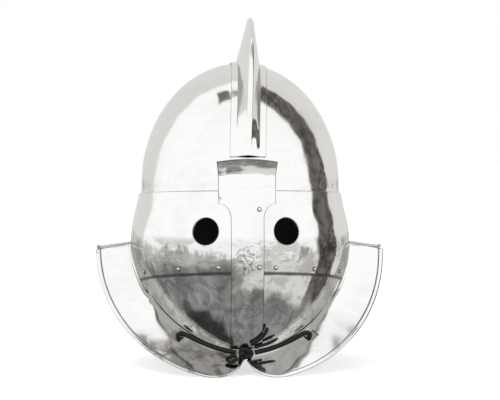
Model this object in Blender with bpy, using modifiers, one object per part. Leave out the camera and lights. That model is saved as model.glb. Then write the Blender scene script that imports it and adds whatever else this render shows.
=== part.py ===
"""Gladiator helmet of polished steel sheet.

A bowl carries a hollow fin crest, a neck guard and a visor of two halves. Each half is an eye plate
riveted over a cheek plate. A nose band covers the joint of the halves, and angle sheets along the jaw
form two flanges that a leather lace ties together under the chin.

Metres, +Z up. The helmet faces -Y and stands on z = 0 on its chin lobes and its neck guard.
Angles phi run round the head from the front, towards +X.
"""

import math

import bmesh
import bpy
import numpy as np
from mathutils import Matrix, Vector

# Sheet and clearances
SHEET = 0.0015
CREST_SHEET = 0.0012
CLEARANCE = 0.0005
HALF_JOINT = 0.0004

# Bowl: half an ellipsoid over the equator, and a skirt below it
EQUATOR_HEIGHT = 0.1833
BOWL_RISE = 0.1257
BOWL_HALF_WIDTH = 0.1015
BOWL_FRONT = 0.1152
BOWL_BACK = 0.1170
FACE_CUT_HEIGHT = EQUATOR_HEIGHT - 0.0143
FACE_CUT_ANGLES = (math.radians(48), math.radians(72))

# Ears and nape, where the skirt of the bowl ends
EAR_HEIGHT = 0.1270
EAR_HALF_WIDTH = 0.1104
NAPE_HEIGHT = 0.0400
NAPE_BACK = 0.1030

# Visor
VISOR_FRONT = 0.1210
VISOR_FRONT_HEIGHT = 0.1150
BROW_HEIGHT = 0.1822
BROW_DROP = 0.0069
SEAM_HEIGHT = 0.1021
SEAM_DROP = 0.0140
SEAM_LAP = 0.0110
CHIN_HEIGHT = 0.0185
CHIN_FRONT = 0.0950
VISOR_END_ANGLE = math.radians(91.5)
EYE_SPACING = 0.0778
EYE_HEIGHT = 0.1422
EYE_RADIUS = 0.0131

# Curves of the lower face: how width falls from ear to chin, and the jaw line seen from the front
JAW_TAPER = 0.38
JAW_TAPER_POWER = 1.74
JAW_POWER = 1.85
NAPE_TAPER = 0.16
JAW_TOP_SHARE = math.sin(math.radians(89.5))
PAST_EDGE = 1.1

# Nose band and its head plate
BAND_OFFSET = 0.0010
BAND_HALF_WIDTH = 0.0156
BAND_END_HEIGHT = 0.0267
BAND_NECK_HEIGHT = 0.1540
HEAD_HALF_WIDTH = 0.0268
HEAD_SHOULDER = 0.0150
HEAD_SIDE_HEIGHT = BAND_NECK_HEIGHT + HEAD_SHOULDER
HEAD_TOP_HEIGHT = HEAD_SIDE_HEIGHT + 0.0390
HEAD_ARCH = 0.0026
HEAD_FLARE = 0.0055
HEAD_FLARE_LENGTH = 0.0130

# Flanges and neck guard
FLANGE_LEG = 0.0060
FLANGE_HALF_WIDTH = 0.1483
FLANGE_TOP_HEIGHT = 0.1225
FLANGE_FORWARD = 0.0270
FLANGE_POWER = 2.15
FLANGE_START = math.radians(1.5)
LOBE_START = math.radians(76)
LOBE_END = math.radians(88.7)
LOBE_DIP = 0.0026
GUARD_START = math.radians(93)
GUARD_LEG = 0.0080
GUARD_EAR_DROP = 0.0050
GUARD_NAPE_REACH = 0.0380
RIM_WIDTH = 0.0048
RIM_HEIGHT = 0.0012

# Slots for the lace, which leaves each at its end towards the chin
SLOT_ANGLE = math.radians(54.5)
SLOT_LENGTH = 0.0142
SLOT_WIDTH = 0.0100
SLOT_FROM_JAW = 0.0061
LACE_ANGLE = math.radians(55.9)

# Crest
CREST_HEIGHT = 0.0463
CREST_END_HEIGHT = 0.0045
CREST_BASE_HALF_WIDTH = 0.0112
CREST_RIDGE_HALF_WIDTH = 0.0022
CREST_FOOT = 0.0062
CREST_START = math.radians(14.5)
CREST_END = math.radians(176)
CREST_APEX = math.radians(96)
CREST_SIDE_FRONT = 0.0015
CREST_SIDE_CROWN = 0.0075
CREST_LEAN = -0.0014

# Rivets and hinges
RIVET_RADIUS = 0.0024
RIVET_DOME = 0.0014
RIVET_SHANK = 0.0012
RIVET_CLINCH = 0.0008
RIVET_INSET = 0.0058
RIVETS_LEFT = (0.239, 0.578, 0.877)
RIVETS_RIGHT = (0.256, 0.608, 0.865)
BAND_RIVET_SIDE = 0.0120
BAND_RIVET_HEIGHTS = (FACE_CUT_HEIGHT - 0.0055, SEAM_HEIGHT + 0.0057)
HINGE_LENGTH = 0.0260
HINGE_LEAF = 0.0130
HINGE_BARREL = 0.0011
HINGE_HEIGHT = 0.1540

# Leather lace
LACE_RADIUS = 0.0025
LACE_STEP = 0.0085
KNOT_HEIGHT = 0.0247
KNOT_SIZE = (0.0082, 0.0042, 0.0064)
LACE_END_RADIUS = 0.0019
LACE_TIP_RADIUS = 0.0015

# Lace through a slot and round the plate's edge: (out from the slot's middle line, up off the flange)
LACE_TURN = (
    (0.0000, 0.0056),
    (0.0002, 0.0000),
    (-0.0020, -0.0046),
    (-0.0076, -0.0066),
    (-0.0128, -0.0040),
    (-0.0140, 0.0015),
)
# Bow of the lace, from the knot's middle: (across, out to the front, up)
BOW = (
    (-0.0094, 0.0023, -0.0012),
    (-0.0138, 0.0021, -0.0024),
    (-0.0183, 0.0007, -0.0050),
    (-0.0146, 0.0023, -0.0082),
    (-0.0106, 0.0029, -0.0064),
    (-0.0082, 0.0019, -0.0043),
)
# Free ends of the lace, which lie on the plates: (across from the knot, up from it)
END_ONE = ((0.0046, 0.0080), (0.0090, 0.0105), (0.0137, 0.0142), (0.0176, 0.0188), (0.0203, 0.0249))
END_TWO = ((0.0086, 0.0049), (0.0140, 0.0062), (0.0200, 0.0080), (0.0260, 0.0106), (0.0310, 0.0134))

TURNED_SIDES = 8
PLATE = SHEET + CLEARANCE


def clear_scene():
    """Remove whatever the scene holds."""
    for obj in list(bpy.data.objects):
        bpy.data.objects.remove(obj, do_unlink=True)


def material(name, colour, metallic, roughness):
    """A Principled material."""
    made = bpy.data.materials.new(name)
    made.use_nodes = True
    shader = made.node_tree.nodes["Principled BSDF"]
    shader.inputs["Base Color"].default_value = (*colour, 1)
    shader.inputs["Metallic"].default_value = metallic
    shader.inputs["Roughness"].default_value = roughness
    return made


def ramp(value, low, high):
    """0 below low, 1 above high and a smooth step between them."""
    share = np.clip((value - low) / (high - low), 0, 1)
    return share * share * (3 - 2 * share)


def below_ear(z, bottom):
    """Share of the way from ear height down to bottom, and a little past it."""
    return np.clip((EAR_HEIGHT - z) / (EAR_HEIGHT - bottom), 0, PAST_EDGE)


def form_width(z, back):
    """Half-width of the head form at height z, with its own taper at the back."""
    dome = BOWL_HALF_WIDTH * dome_share(z)
    down = np.clip((EQUATOR_HEIGHT - z) / (EQUATOR_HEIGHT - EAR_HEIGHT), 0, 1)
    skirt = BOWL_HALF_WIDTH + (EAR_HALF_WIDTH - BOWL_HALF_WIDTH) * np.sin(down * math.pi / 2) ** 1.8
    jaw = EAR_HALF_WIDTH * (1 - JAW_TAPER * below_ear(z, CHIN_HEIGHT) ** JAW_TAPER_POWER)
    nape = EAR_HALF_WIDTH * (1 - NAPE_TAPER * below_ear(z, NAPE_HEIGHT) ** JAW_TAPER_POWER)
    low = np.where(back, nape, jaw)
    return np.where(z > EQUATOR_HEIGHT, dome, np.where(z > EAR_HEIGHT, skirt, low))


def dome_share(z):
    """Radius of the bowl at height z as a share of its radius at the equator: an ellipse."""
    up = np.clip((z - EQUATOR_HEIGHT) / BOWL_RISE, 0, 1)
    return np.sqrt(1 - up * up)


def form_front(z):
    """Reach of the head form to the front at height z: bowl, brow, nose and chin."""
    dome = BOWL_FRONT * dome_share(z)
    up = np.clip((z - VISOR_FRONT_HEIGHT) / (EQUATOR_HEIGHT - VISOR_FRONT_HEIGHT), 0, 1)
    brow = VISOR_FRONT - (VISOR_FRONT - BOWL_FRONT) * up**1.5
    down = np.clip((VISOR_FRONT_HEIGHT - z) / (VISOR_FRONT_HEIGHT - CHIN_HEIGHT), 0, PAST_EDGE)
    chin = VISOR_FRONT - (VISOR_FRONT - CHIN_FRONT) * down**1.7
    low = np.where(z > VISOR_FRONT_HEIGHT, brow, chin)
    return np.where(z > EQUATOR_HEIGHT, dome, low)


def form_back(z):
    """Reach of the head form to the back at height z."""
    down = np.clip((EQUATOR_HEIGHT - z) / (EQUATOR_HEIGHT - NAPE_HEIGHT), 0, PAST_EDGE)
    skirt = BOWL_BACK - (BOWL_BACK - NAPE_BACK) * down**1.8
    return np.where(z > EQUATOR_HEIGHT, BOWL_BACK * dome_share(z), skirt)


def form_base(phi, z):
    """Point of the head form at angle phi and height z: an ellipse at each height."""
    phi, z = np.broadcast_arrays(np.asarray(phi, float), np.asarray(z, float))
    back = np.cos(phi) < 0
    reach = np.where(back, form_back(z), form_front(z))
    return np.stack([form_width(z, back) * np.sin(phi), -reach * np.cos(phi), z], axis=-1)


def form_normal(phi, z):
    """Outward unit normal of the head form, from differences of its points."""
    step = 1e-4
    round_it = form_base(phi + step, z) - form_base(phi - step, z)
    up_it = form_base(phi, z + step) - form_base(phi, z - step)
    normal = np.cross(round_it, up_it)
    return normal / np.linalg.norm(normal, axis=-1, keepdims=True)


def form(phi, z, offset):
    """Point at a distance outside the head form."""
    phi, z = np.broadcast_arrays(np.asarray(phi, float), np.asarray(z, float))
    return form_base(phi, z) + form_normal(phi, z) * np.asarray(offset, float)[..., None]


def form_at_x(x, z, offset):
    """Point of the front outside the head form above a place x on a front view."""
    x, z = np.broadcast_arrays(np.asarray(x, float), np.asarray(z, float))
    phi = np.arcsin(np.clip(x / form_width(z, np.zeros(z.shape, bool)), -1, 1))
    return form(phi, z, offset)


def jaw_share(angle):
    """(across, down) shares of the jaw line on a front view: a superellipse from ear to chin."""
    return np.cos(angle) ** (2 / JAW_POWER), np.sin(angle) ** (2 / JAW_POWER)


def jaw_line(angle):
    """(phi, z) of the jaw line, from the ear at angle 0 to the chin at a right angle."""
    across, down = jaw_share(angle)
    z = EAR_HEIGHT - (EAR_HEIGHT - CHIN_HEIGHT) * down
    width = form_width(z, np.zeros(np.shape(z), bool))
    x = np.maximum(EAR_HALF_WIDTH * across, HALF_JOINT)
    return np.arcsin(np.minimum(x / width, JAW_TOP_SHARE)), z


def jaw_angle(z):
    """Angle phi of the jaw line at height z, and the visor's end above the ears."""
    down = np.minimum(below_ear(z, CHIN_HEIGHT), 1)
    across = (1 - down**JAW_POWER) ** (1 / JAW_POWER)
    width = form_width(z, np.zeros(np.shape(z), bool))
    phi = np.arcsin(np.clip(EAR_HALF_WIDTH * across / width, 0, JAW_TOP_SHARE))
    return np.where(z > EAR_HEIGHT, VISOR_END_ANGLE, phi)


def seam_height(share):
    """Height of the lower edge of the eye plates, share 0 at the nose and 1 at the side."""
    return SEAM_HEIGHT - SEAM_DROP * (1 - np.cos(share * math.pi / 2))


def sheet(name, points, thickness, finish, side=1):
    """A piece of sheet: a grid of points is its outer face, and its wall goes inwards."""
    points = np.array(points, float)
    points[..., 0] *= side
    rows, columns = points.shape[:2]
    index = np.arange(rows * columns).reshape(rows, columns)
    corners = [index[:-1, :-1], index[:-1, 1:], index[1:, 1:], index[1:, :-1]]
    faces = np.stack(corners[::side], axis=-1).reshape(-1, 4)
    mesh = bpy.data.meshes.new(name)
    mesh.from_pydata(points.reshape(-1, 3).tolist(), [], faces.tolist())
    grid = bmesh.new()
    grid.from_mesh(mesh)
    bmesh.ops.remove_doubles(grid, verts=grid.verts, dist=1e-6)
    grid.to_mesh(mesh)
    grid.free()
    obj = add_object(name, mesh, finish)
    wall = obj.modifiers.new("Wall", "SOLIDIFY")
    wall.thickness = thickness
    wall.offset = -1
    wall.use_even_offset = True
    wall.use_quality_normals = True
    return obj


def add_object(name, mesh, finish):
    """Put a mesh in the helmet's collection, shaded smooth with its sharp edges kept."""
    mesh.shade_smooth()
    mesh.set_sharp_from_angle(angle=math.radians(35))
    mesh.materials.append(finish)
    obj = bpy.data.objects.new(name, mesh)
    HELMET.objects.link(obj)
    return obj


def cut(obj, cutter, solver="EXACT"):
    """Cut an object with a cutter."""
    boolean = obj.modifiers.new("Cut by " + cutter.name, "BOOLEAN")
    boolean.operation = "DIFFERENCE"
    boolean.solver = solver
    boolean.object = cutter


def add_cutter(name, shape, matrix):
    """A cutter from a bmesh, hidden from renders."""
    mesh = bpy.data.meshes.new(name)
    shape.to_mesh(mesh)
    shape.free()
    obj = bpy.data.objects.new(name, mesh)
    obj.matrix_world = matrix
    obj.hide_render = True
    obj.display_type = "WIRE"
    CUTTERS.objects.link(obj)
    return obj


def cylinder_cutter(name, radius, length, matrix, sides):
    """A cylinder cutter centred on its matrix, along its Z."""
    shape = bmesh.new()
    bmesh.ops.create_cone(
        shape, cap_ends=True, segments=sides, radius1=radius, radius2=radius, depth=length
    )
    return add_cutter(name, shape, matrix)


def along(origin, direction, across=(0, 0, 1)):
    """Matrix at origin whose Z is the direction and whose Y leans towards across."""
    z_axis = Vector(direction).normalized()
    x_axis = Vector(across).cross(z_axis).normalized()
    y_axis = z_axis.cross(x_axis)
    turn = Matrix((x_axis, y_axis, z_axis)).transposed().to_4x4()
    return Matrix.Translation(Vector(origin)) @ turn


def bowl_rim(phi):
    """Height of the bowl's lower edge: over the face, down to the ears and on to the nape."""
    turn = np.abs(phi)
    face = EAR_HEIGHT + (FACE_CUT_HEIGHT - EAR_HEIGHT) * (1 - ramp(turn, *FACE_CUT_ANGLES))
    behind = np.clip((turn - math.pi / 2) * 1.2, 0, math.pi / 2)
    nape = EAR_HEIGHT - (EAR_HEIGHT - NAPE_HEIGHT) * np.sin(behind) ** 2
    return np.where(turn > math.pi / 2, nape, face)


def make_bowl(steel):
    """The bowl: rings of an ellipsoid down to the equator, then a skirt down to its rim."""
    phi = np.radians(np.linspace(180, -180, 41))
    dome = np.linspace(0, math.pi / 2, 8)[:, None]
    upper = form_base(phi, EQUATOR_HEIGHT + BOWL_RISE * np.cos(dome) + 0 * phi)
    fall = np.linspace(0, 1, 7)[1:, None]
    skirt = form_base(phi, EQUATOR_HEIGHT + fall * (bowl_rim(phi) - EQUATOR_HEIGHT))
    return sheet("bowl", np.concatenate([upper, skirt]), SHEET, steel)


def eye_plate_grid(rows, columns):
    """Outer face of the right eye plate, from its top edge down to the seam."""
    across = np.linspace(1, 0, columns)[None]
    down = np.linspace(0, 1, rows)[:, None]
    top = BROW_HEIGHT - BROW_DROP * (1 - np.cos(across * math.pi / 2))
    z = top + down * (seam_height(across) - top)
    inner = HALF_JOINT / EAR_HALF_WIDTH
    phi = inner + across * (jaw_angle(z) - inner)
    return form(phi, z, PLATE)


def cheek_plate_grid(rows, columns):
    """Outer face of the right cheek plate: jaw line and seam joined by ruled lines on the form."""
    across = np.linspace(1, 0, columns)
    corner = seam_height(1.0) - CLEARANCE
    down = below_ear(corner, CHIN_HEIGHT)
    first = math.asin(down ** (JAW_POWER / 2))
    jaw_phi, jaw_z = jaw_line(first + (1 - across) * (math.pi / 2 - first))
    top_z = seam_height(across) + SEAM_LAP
    top_phi = HALF_JOINT / EAR_HALF_WIDTH + across * jaw_angle(top_z)
    share = np.linspace(0, 1, rows)[:, None]
    return form(top_phi + share * (jaw_phi - top_phi), top_z + share * (jaw_z - top_z), 0.0)


def make_visor(steel):
    """Two eye plates with their holes, and two cheek plates."""
    plates = {}
    for label, side in (("left", -1), ("right", 1)):
        eye_plate = sheet("eye_plate_" + label, eye_plate_grid(8, 14), SHEET, steel, side)
        centre = form_at_x(EYE_SPACING / 2, EYE_HEIGHT, 0.0) * (side, 1, 1)
        normal = form_at_x(EYE_SPACING / 2, EYE_HEIGHT, 1.0) * (side, 1, 1) - centre
        hole = cylinder_cutter(
            "eye_hole_" + label, EYE_RADIUS, 4 * EYE_RADIUS, along(centre, normal), 28
        )
        cut(eye_plate, hole)
        cheek_plate = sheet("cheek_plate_" + label, cheek_plate_grid(8, 13), SHEET, steel, side)
        plates[label] = (eye_plate, cheek_plate)
    return plates


def band_half_width(z):
    """Half-width of the nose band: a strip that spreads in a quarter ellipse to the head plate."""
    up = np.clip((z - BAND_NECK_HEIGHT) / (HEAD_SIDE_HEIGHT - BAND_NECK_HEIGHT), 0, 1)
    return BAND_HALF_WIDTH + (HEAD_HALF_WIDTH - BAND_HALF_WIDTH) * (1 - np.sqrt(1 - up * up))


def band_offset(z, across):
    """Height of the band's outer face: on the cheek plates, over the eye plates, and flared out."""
    step = ramp(z, SEAM_HEIGHT - 6 * PLATE, SEAM_HEIGHT - 2 * PLATE)
    top = np.clip((z - HEAD_TOP_HEIGHT + HEAD_FLARE_LENGTH) / HEAD_FLARE_LENGTH, 0, 1)
    edge = np.clip(-across * 1.0 - 0.7, 0, 1) * ramp(z, HEAD_SIDE_HEIGHT, BROW_HEIGHT)
    return PLATE + PLATE * step + HEAD_FLARE * top**1.6 + HEAD_FLARE * edge


def make_nose_band(steel):
    """The nose band, from its arched and flared top to its straight end over the chin."""
    upper = np.linspace(BAND_NECK_HEIGHT, SEAM_HEIGHT - 2 * PLATE, 6)
    lower = np.linspace(SEAM_HEIGHT - 6 * PLATE, BAND_END_HEIGHT, 7)
    shoulder = np.linspace(HEAD_SIDE_HEIGHT, BAND_NECK_HEIGHT, 6)[:-1]
    head = np.linspace(HEAD_TOP_HEIGHT, HEAD_SIDE_HEIGHT, 7)[:-1]
    z = np.concatenate([head, shoulder, upper, lower])[:, None]
    across = np.linspace(1, -1, 7)[None]
    x = BAND_OFFSET + across * band_half_width(z)
    arched = z + HEAD_ARCH * (1 - across**2) * ramp(z, HEAD_SIDE_HEIGHT, HEAD_TOP_HEIGHT)
    return sheet("nose_band", form_at_x(x, arched, band_offset(z, across)), SHEET, steel)


def jaw_frame(angle):
    """Points of the jaw line with the form's normal and the direction up the plate at each."""
    phi, z = jaw_line(angle)
    point = form_base(phi, z)
    normal = form_normal(phi, z)
    step = 1e-3
    tangent = form_base(*jaw_line(angle + step)) - form_base(*jaw_line(angle - step))
    up = np.cross(tangent, normal)
    up /= np.linalg.norm(up, axis=-1, keepdims=True)
    return point, normal, up


def flange_edge(angle):
    """Outer edge of the front flange: a superellipse on a front view, leaning forward at the chin."""
    point, _, _ = jaw_frame(angle)
    across = np.cos(angle) ** (2 / FLANGE_POWER)
    down = np.sin(angle) ** (2 / FLANGE_POWER)
    forward = FLANGE_FORWARD * np.sin(angle) ** 1.5
    z = FLANGE_TOP_HEIGHT - (FLANGE_TOP_HEIGHT + LOBE_DIP) * down
    return np.stack([FLANGE_HALF_WIDTH * across, point[:, 1] - forward, z], axis=-1)


def lobe_share(angle):
    """Share of the flange's full width: a quarter ellipse round the lobe at the chin."""
    turn = np.clip((angle - LOBE_START) / (LOBE_END - LOBE_START), 0, 0.99)
    return np.sqrt(1 - turn * turn)[:, None]


def flange_angles(count):
    """Angles of the flange's sections, close together where the lobe turns."""
    straight = np.linspace(FLANGE_START, LOBE_START, count)
    lobe = LOBE_START + (LOBE_END - LOBE_START) * np.sin(np.linspace(0, math.pi / 2, 7)[1:])
    return np.concatenate([straight, lobe])


def raised_rim(inner, edge, face_up, shares):
    """Rows from the inner line to the edge, with a raised rim that follows the edge."""
    span = edge - inner
    length = np.linalg.norm(span, axis=-1, keepdims=True)
    rim = np.minimum(RIM_WIDTH / np.maximum(length, 1e-6), 0.45)
    rows = [inner + span * (1 - rim) * share for share in shares]
    lift = face_up * RIM_HEIGHT * np.minimum(length / (3 * RIM_WIDTH), 1)
    rows += [
        inner + span * (1 - rim),
        inner + span * (1 - rim * 0.75) + lift,
        inner + span * (1 - rim * 0.25) + lift,
        edge,
    ]
    return rows


def make_flanges(steel):
    """Two angle sheets: a leg lies on the plates, and the flange stands out along the jaw."""
    flanges = {}
    angle = flange_angles(18)
    point, normal, up = jaw_frame(angle)
    leg_top = point[:, 2:] + FLANGE_LEG
    over_seam = ramp(leg_top, seam_height(1.0) - 5 * PLATE, seam_height(1.0) - PLATE)
    lift = normal * (PLATE + PLATE * over_seam)
    corner = point + lift
    edge = corner + (flange_edge(angle) - corner) * lobe_share(angle)
    rows = [corner + up * FLANGE_LEG]
    rows += raised_rim(corner, edge, up, (0, 0.33, 0.67))
    for label, side in (("left", -1), ("right", 1)):
        flange = sheet("front_flange_" + label, np.stack(rows), SHEET, steel, side)
        cut(flange, slot_cutter(label, side), "MANIFOLD")
        flanges[label] = flange
    return flanges


def jaw_axes(angle):
    """Corner of the flange at an angle of the jaw, and unit directions along, out and up."""
    point, normal, up = jaw_frame(angle)
    out = flange_edge(angle) - point
    out /= np.linalg.norm(out, axis=-1, keepdims=True)
    across = np.cross(out, up)
    across /= np.linalg.norm(across, axis=-1, keepdims=True)
    return point + normal * PLATE, across, out, np.cross(across, out)


def jaw_place(angle, out, up):
    """Points beside the right jaw line: out along the flange from its corner, and up off its face."""
    corner, _, outwards, upwards = jaw_axes(np.asarray(angle, float))
    return corner + outwards * np.asarray(out)[..., None] + upwards * np.asarray(up)[..., None]


def slot_cutter(label, side):
    """A box through the flange beside the jaw."""
    corner, across, out, through = (part[0] for part in jaw_axes(np.array([SLOT_ANGLE])))
    middle = corner + out * SLOT_FROM_JAW
    shape = bmesh.new()
    bmesh.ops.create_cube(shape, size=1)
    size = (SLOT_LENGTH, SLOT_WIDTH, 8 * RIM_WIDTH)
    bmesh.ops.scale(shape, vec=size, verts=shape.verts)
    turn = Matrix((across, out, through)).transposed().to_4x4()
    place = Matrix.Translation(Vector(middle)) @ turn
    if side < 0:
        flip = Matrix.Scale(-1, 4, (1, 0, 0))
        place = flip @ place @ flip
    return add_cutter("slot_" + label, shape, place)


def make_neck_guard(steel):
    """An angle sheet round the nape: a leg on the bowl, and a brim that drops towards the back."""
    phi = np.linspace(2 * math.pi - GUARD_START, GUARD_START, 33)
    turn = math.pi - np.abs(phi - math.pi)
    rim = bowl_rim(turn)
    leg_top = form(phi, rim + GUARD_LEG, PLATE)
    corner = form(phi, rim, PLATE)
    nape = np.sin(np.clip((turn - math.pi / 2) * 1.2, 0, math.pi / 2)) ** 2
    reach = FLANGE_HALF_WIDTH - EAR_HALF_WIDTH - PLATE
    reach = reach + (GUARD_NAPE_REACH - reach) * nape
    out = corner - form(phi, rim, 0.0)
    out[:, 2] = 0
    out /= np.linalg.norm(out, axis=-1, keepdims=True)
    fall = np.sin(np.clip((turn - math.pi / 2) * 90 / 65, 0, math.pi / 2)) ** 2
    height = (EAR_HEIGHT - GUARD_EAR_DROP) * (1 - fall)
    edge = corner + out * reach[:, None]
    edge[:, 2] = height
    tangent = np.gradient(edge, axis=0)
    face_up = np.cross(edge - corner, tangent)
    face_up /= np.linalg.norm(face_up, axis=-1, keepdims=True)
    face_up *= np.sign(face_up[:, 2:])
    rows = [leg_top] + raised_rim(corner, edge, face_up, (0, 0.33, 0.67))
    return sheet("neck_guard", np.stack(rows), SHEET, steel)


def crest_height(angle):
    """Height of the crest over the bowl: a fin that rises from brow to apex and falls to the nape."""
    front = (angle - CREST_START) / (CREST_APEX - CREST_START)
    back = (CREST_END - angle) / (CREST_END - CREST_APEX)
    share = np.clip(np.where(angle < CREST_APEX, front, back), 0, 1)
    arc = np.sin(share * math.pi / 2) ** 1.25
    return CREST_END_HEIGHT + (CREST_HEIGHT - CREST_END_HEIGHT) * arc


def bowl_point(x, angle, height):
    """Point over the bowl at a side distance x and an angle over the top from the front."""
    reach = np.where(np.cos(angle) > 0, BOWL_FRONT, BOWL_BACK)
    share = np.sqrt(1 - (x / BOWL_HALF_WIDTH) ** 2)
    y, z = -reach * np.cos(angle) * share, BOWL_RISE * np.sin(angle) * share
    point = np.stack(np.broadcast_arrays(x, y, EQUATOR_HEIGHT + z), axis=-1)
    across, over, up = x / BOWL_HALF_WIDTH**2, y / reach**2, z / BOWL_RISE**2
    normal = np.stack(np.broadcast_arrays(across, over, up), axis=-1)
    normal /= np.linalg.norm(normal, axis=-1, keepdims=True)
    return point + normal * np.asarray(height)[..., None]


def make_crest(steel):
    """The crest: a sheet folded over the ridge, with a foot on the bowl on each side."""
    angle = np.linspace(CREST_START, CREST_END, 27)[:, None]
    over_top = np.sin(np.clip(angle, 0, math.pi / 2))
    middle = CREST_SIDE_FRONT + (CREST_SIDE_CROWN - CREST_SIDE_FRONT) * over_top**2
    height = crest_height(angle)
    lean = CREST_LEAN * (height / CREST_HEIGHT) ** 2
    lift = CREST_SHEET + CLEARANCE
    foot, base, ridge = CREST_BASE_HALF_WIDTH + CREST_FOOT, CREST_BASE_HALF_WIDTH, CREST_RIDGE_HALF_WIDTH
    columns = []
    for side in (-1, 1):
        side_columns = [
            bowl_point(middle + side * foot, angle, lift + 0 * angle),
            bowl_point(middle + side * base, angle, lift + 0 * angle),
        ]
        for share in (0.34, 0.68, 0.94, 1.0):
            half = ridge + (base - ridge) * (1 - share) ** 1.1
            half = half * (0.5 if share == 1.0 else 1.0)
            centre = bowl_point(middle, angle, lift + height * share)
            centre[..., 0] += side * half + (lean * share)
            side_columns.append(centre)
        columns.append(side_columns)
    left_to_right = columns[0] + columns[1][::-1]
    return sheet("crest", np.concatenate(left_to_right, axis=1), CREST_SHEET, steel)


def turned(name, profile, steps, finish, place):
    """A turned piece: its profile runs down the outer side from the axis back to the axis."""
    mesh = bpy.data.meshes.new(name)
    edges = [(i, i + 1) for i in range(len(profile) - 1)]
    mesh.from_pydata([(r, 0, z) for r, z in profile], edges, [])
    obj = add_object(name, mesh, finish)
    screw = obj.modifiers.new("Turn", "SCREW")
    screw.steps = screw.render_steps = steps
    screw.use_merge_vertices = True
    screw.merge_threshold = 0.00001
    obj.matrix_world = place
    return obj


def make_rivet(name, x, z, top, bottom, plates, steel):
    """A rivet through the plates from their outermost to their innermost face, clinched inside."""
    start = form_at_x(x, z, top + CLEARANCE / 2)
    normal = start - form_at_x(x, z, bottom)
    normal /= np.linalg.norm(normal)
    grip = top - bottom + 2 * CLEARANCE
    dome = [
        (RIVET_RADIUS * math.sin(turn), RIVET_DOME * math.cos(turn))
        for turn in np.linspace(0, math.pi / 2, 4)
    ]
    clinch = RIVET_RADIUS * 0.8
    profile = dome + [
        (RIVET_SHANK, 0),
        (RIVET_SHANK, -grip),
        (clinch, -grip),
        (clinch, -grip - RIVET_CLINCH),
        (0, -grip - RIVET_CLINCH),
    ]
    place = along(start, normal)
    turned(name, profile, TURNED_SIDES, steel, place)
    hole = (RIVET_SHANK + CLEARANCE) / math.cos(math.pi / TURNED_SIDES)
    cutter = cylinder_cutter("hole_" + name, hole, 4 * grip, place, TURNED_SIDES)
    for plate in plates:
        cut(plate, cutter)


def make_rivets(plates, band, steel):
    """Three rivets along each seam and two through the nose band."""
    end = jaw_angle(SEAM_HEIGHT - SEAM_DROP / 2)
    for label, side, places in (("left", -1, RIVETS_LEFT), ("right", 1, RIVETS_RIGHT)):
        for count, share in enumerate(places, 1):
            x = share * EAR_HALF_WIDTH
            z = float(seam_height(np.arcsin(share) / end)) + RIVET_INSET
            make_rivet(
                f"rivet_{label}_{count}", side * x, z, PLATE, -SHEET, plates[label], steel
            )
    eye_plate, cheek_plate = plates["right"]
    high, low = BAND_RIVET_HEIGHTS
    make_rivet("rivet_band_1", BAND_RIVET_SIDE, high, 2 * PLATE, PLATE - SHEET, (band, eye_plate), steel)
    make_rivet(
        "rivet_band_2", BAND_RIVET_SIDE, low, 2 * PLATE, -SHEET, (band, eye_plate, cheek_plate), steel
    )


def make_hinges(steel):
    """A hinge at each temple: a barrel at the visor's end and a leaf on the bowl behind it."""
    gap = 1.2 * CLEARANCE
    barrel_turn = (HINGE_BARREL + gap) / BOWL_FRONT
    for label, side in (("left", -1), ("right", 1)):
        z = HINGE_HEIGHT + HINGE_LENGTH * np.linspace(0.5, -0.5, 4)[:, None]
        start = VISOR_END_ANGLE + barrel_turn
        phi = np.linspace(start + HINGE_LEAF / BOWL_FRONT, start, 5)[None]
        leaf = sheet("hinge_" + label, form(phi + 0 * z, z, PLATE), SHEET, steel, side)
        ends = form(start, z[[0, -1], 0], HINGE_BARREL + gap) * (side, 1, 1)
        place = along(ends.mean(axis=0), ends[0] - ends[1], (0, 1, 0))
        length = float(np.linalg.norm(ends[0] - ends[1]))
        barrel = cylinder_cutter("barrel_" + label, HINGE_BARREL, length, place, 12)
        join = leaf.modifiers.new("Barrel", "BOOLEAN")
        join.operation = "UNION"
        join.object = barrel


def smooth_route(points, step):
    """Points a step apart along a Catmull-Rom curve through the route's own points."""
    points = np.asarray(points, float)
    padded = np.concatenate([2 * points[:1] - points[1:2], points, 2 * points[-1:] - points[-2:-1]])
    t = np.linspace(0, 1, 24, endpoint=False)[:, None]
    pieces = []
    for a, b, c, d in zip(padded, padded[1:], padded[2:], padded[3:]):
        curve = 2 * b + (c - a) * t + (2 * a - 5 * b + 4 * c - d) * t**2
        pieces.append((curve + (3 * b - a - 3 * c + d) * t**3) / 2)
    dense = np.concatenate(pieces + [points[-1:]])
    length = np.concatenate([[0], np.cumsum(np.linalg.norm(np.diff(dense, axis=0), axis=1))])
    count = max(3, round(length[-1] / step) + 1)
    wanted = np.linspace(0, length[-1], count)
    return np.stack([np.interp(wanted, length, dense[:, axis]) for axis in range(3)], axis=1)


def tube(name, route, radius, finish):
    """A round lace along a route, with filled ends."""
    curve = bpy.data.curves.new(name, "CURVE")
    curve.dimensions = "3D"
    curve.bevel_depth = radius
    curve.bevel_resolution = 2
    curve.use_fill_caps = True
    spline = curve.splines.new("POLY")
    spline.points.add(len(route) - 1)
    for point, place in zip(spline.points, route):
        point.co = (*place, 1)
    curve.materials.append(finish)
    obj = bpy.data.objects.new(name, curve)
    HELMET.objects.link(obj)
    return obj


def mirrored(points):
    """The same points on the other side, in reverse order."""
    return (np.asarray(points) * (-1, 1, 1))[::-1]


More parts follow.
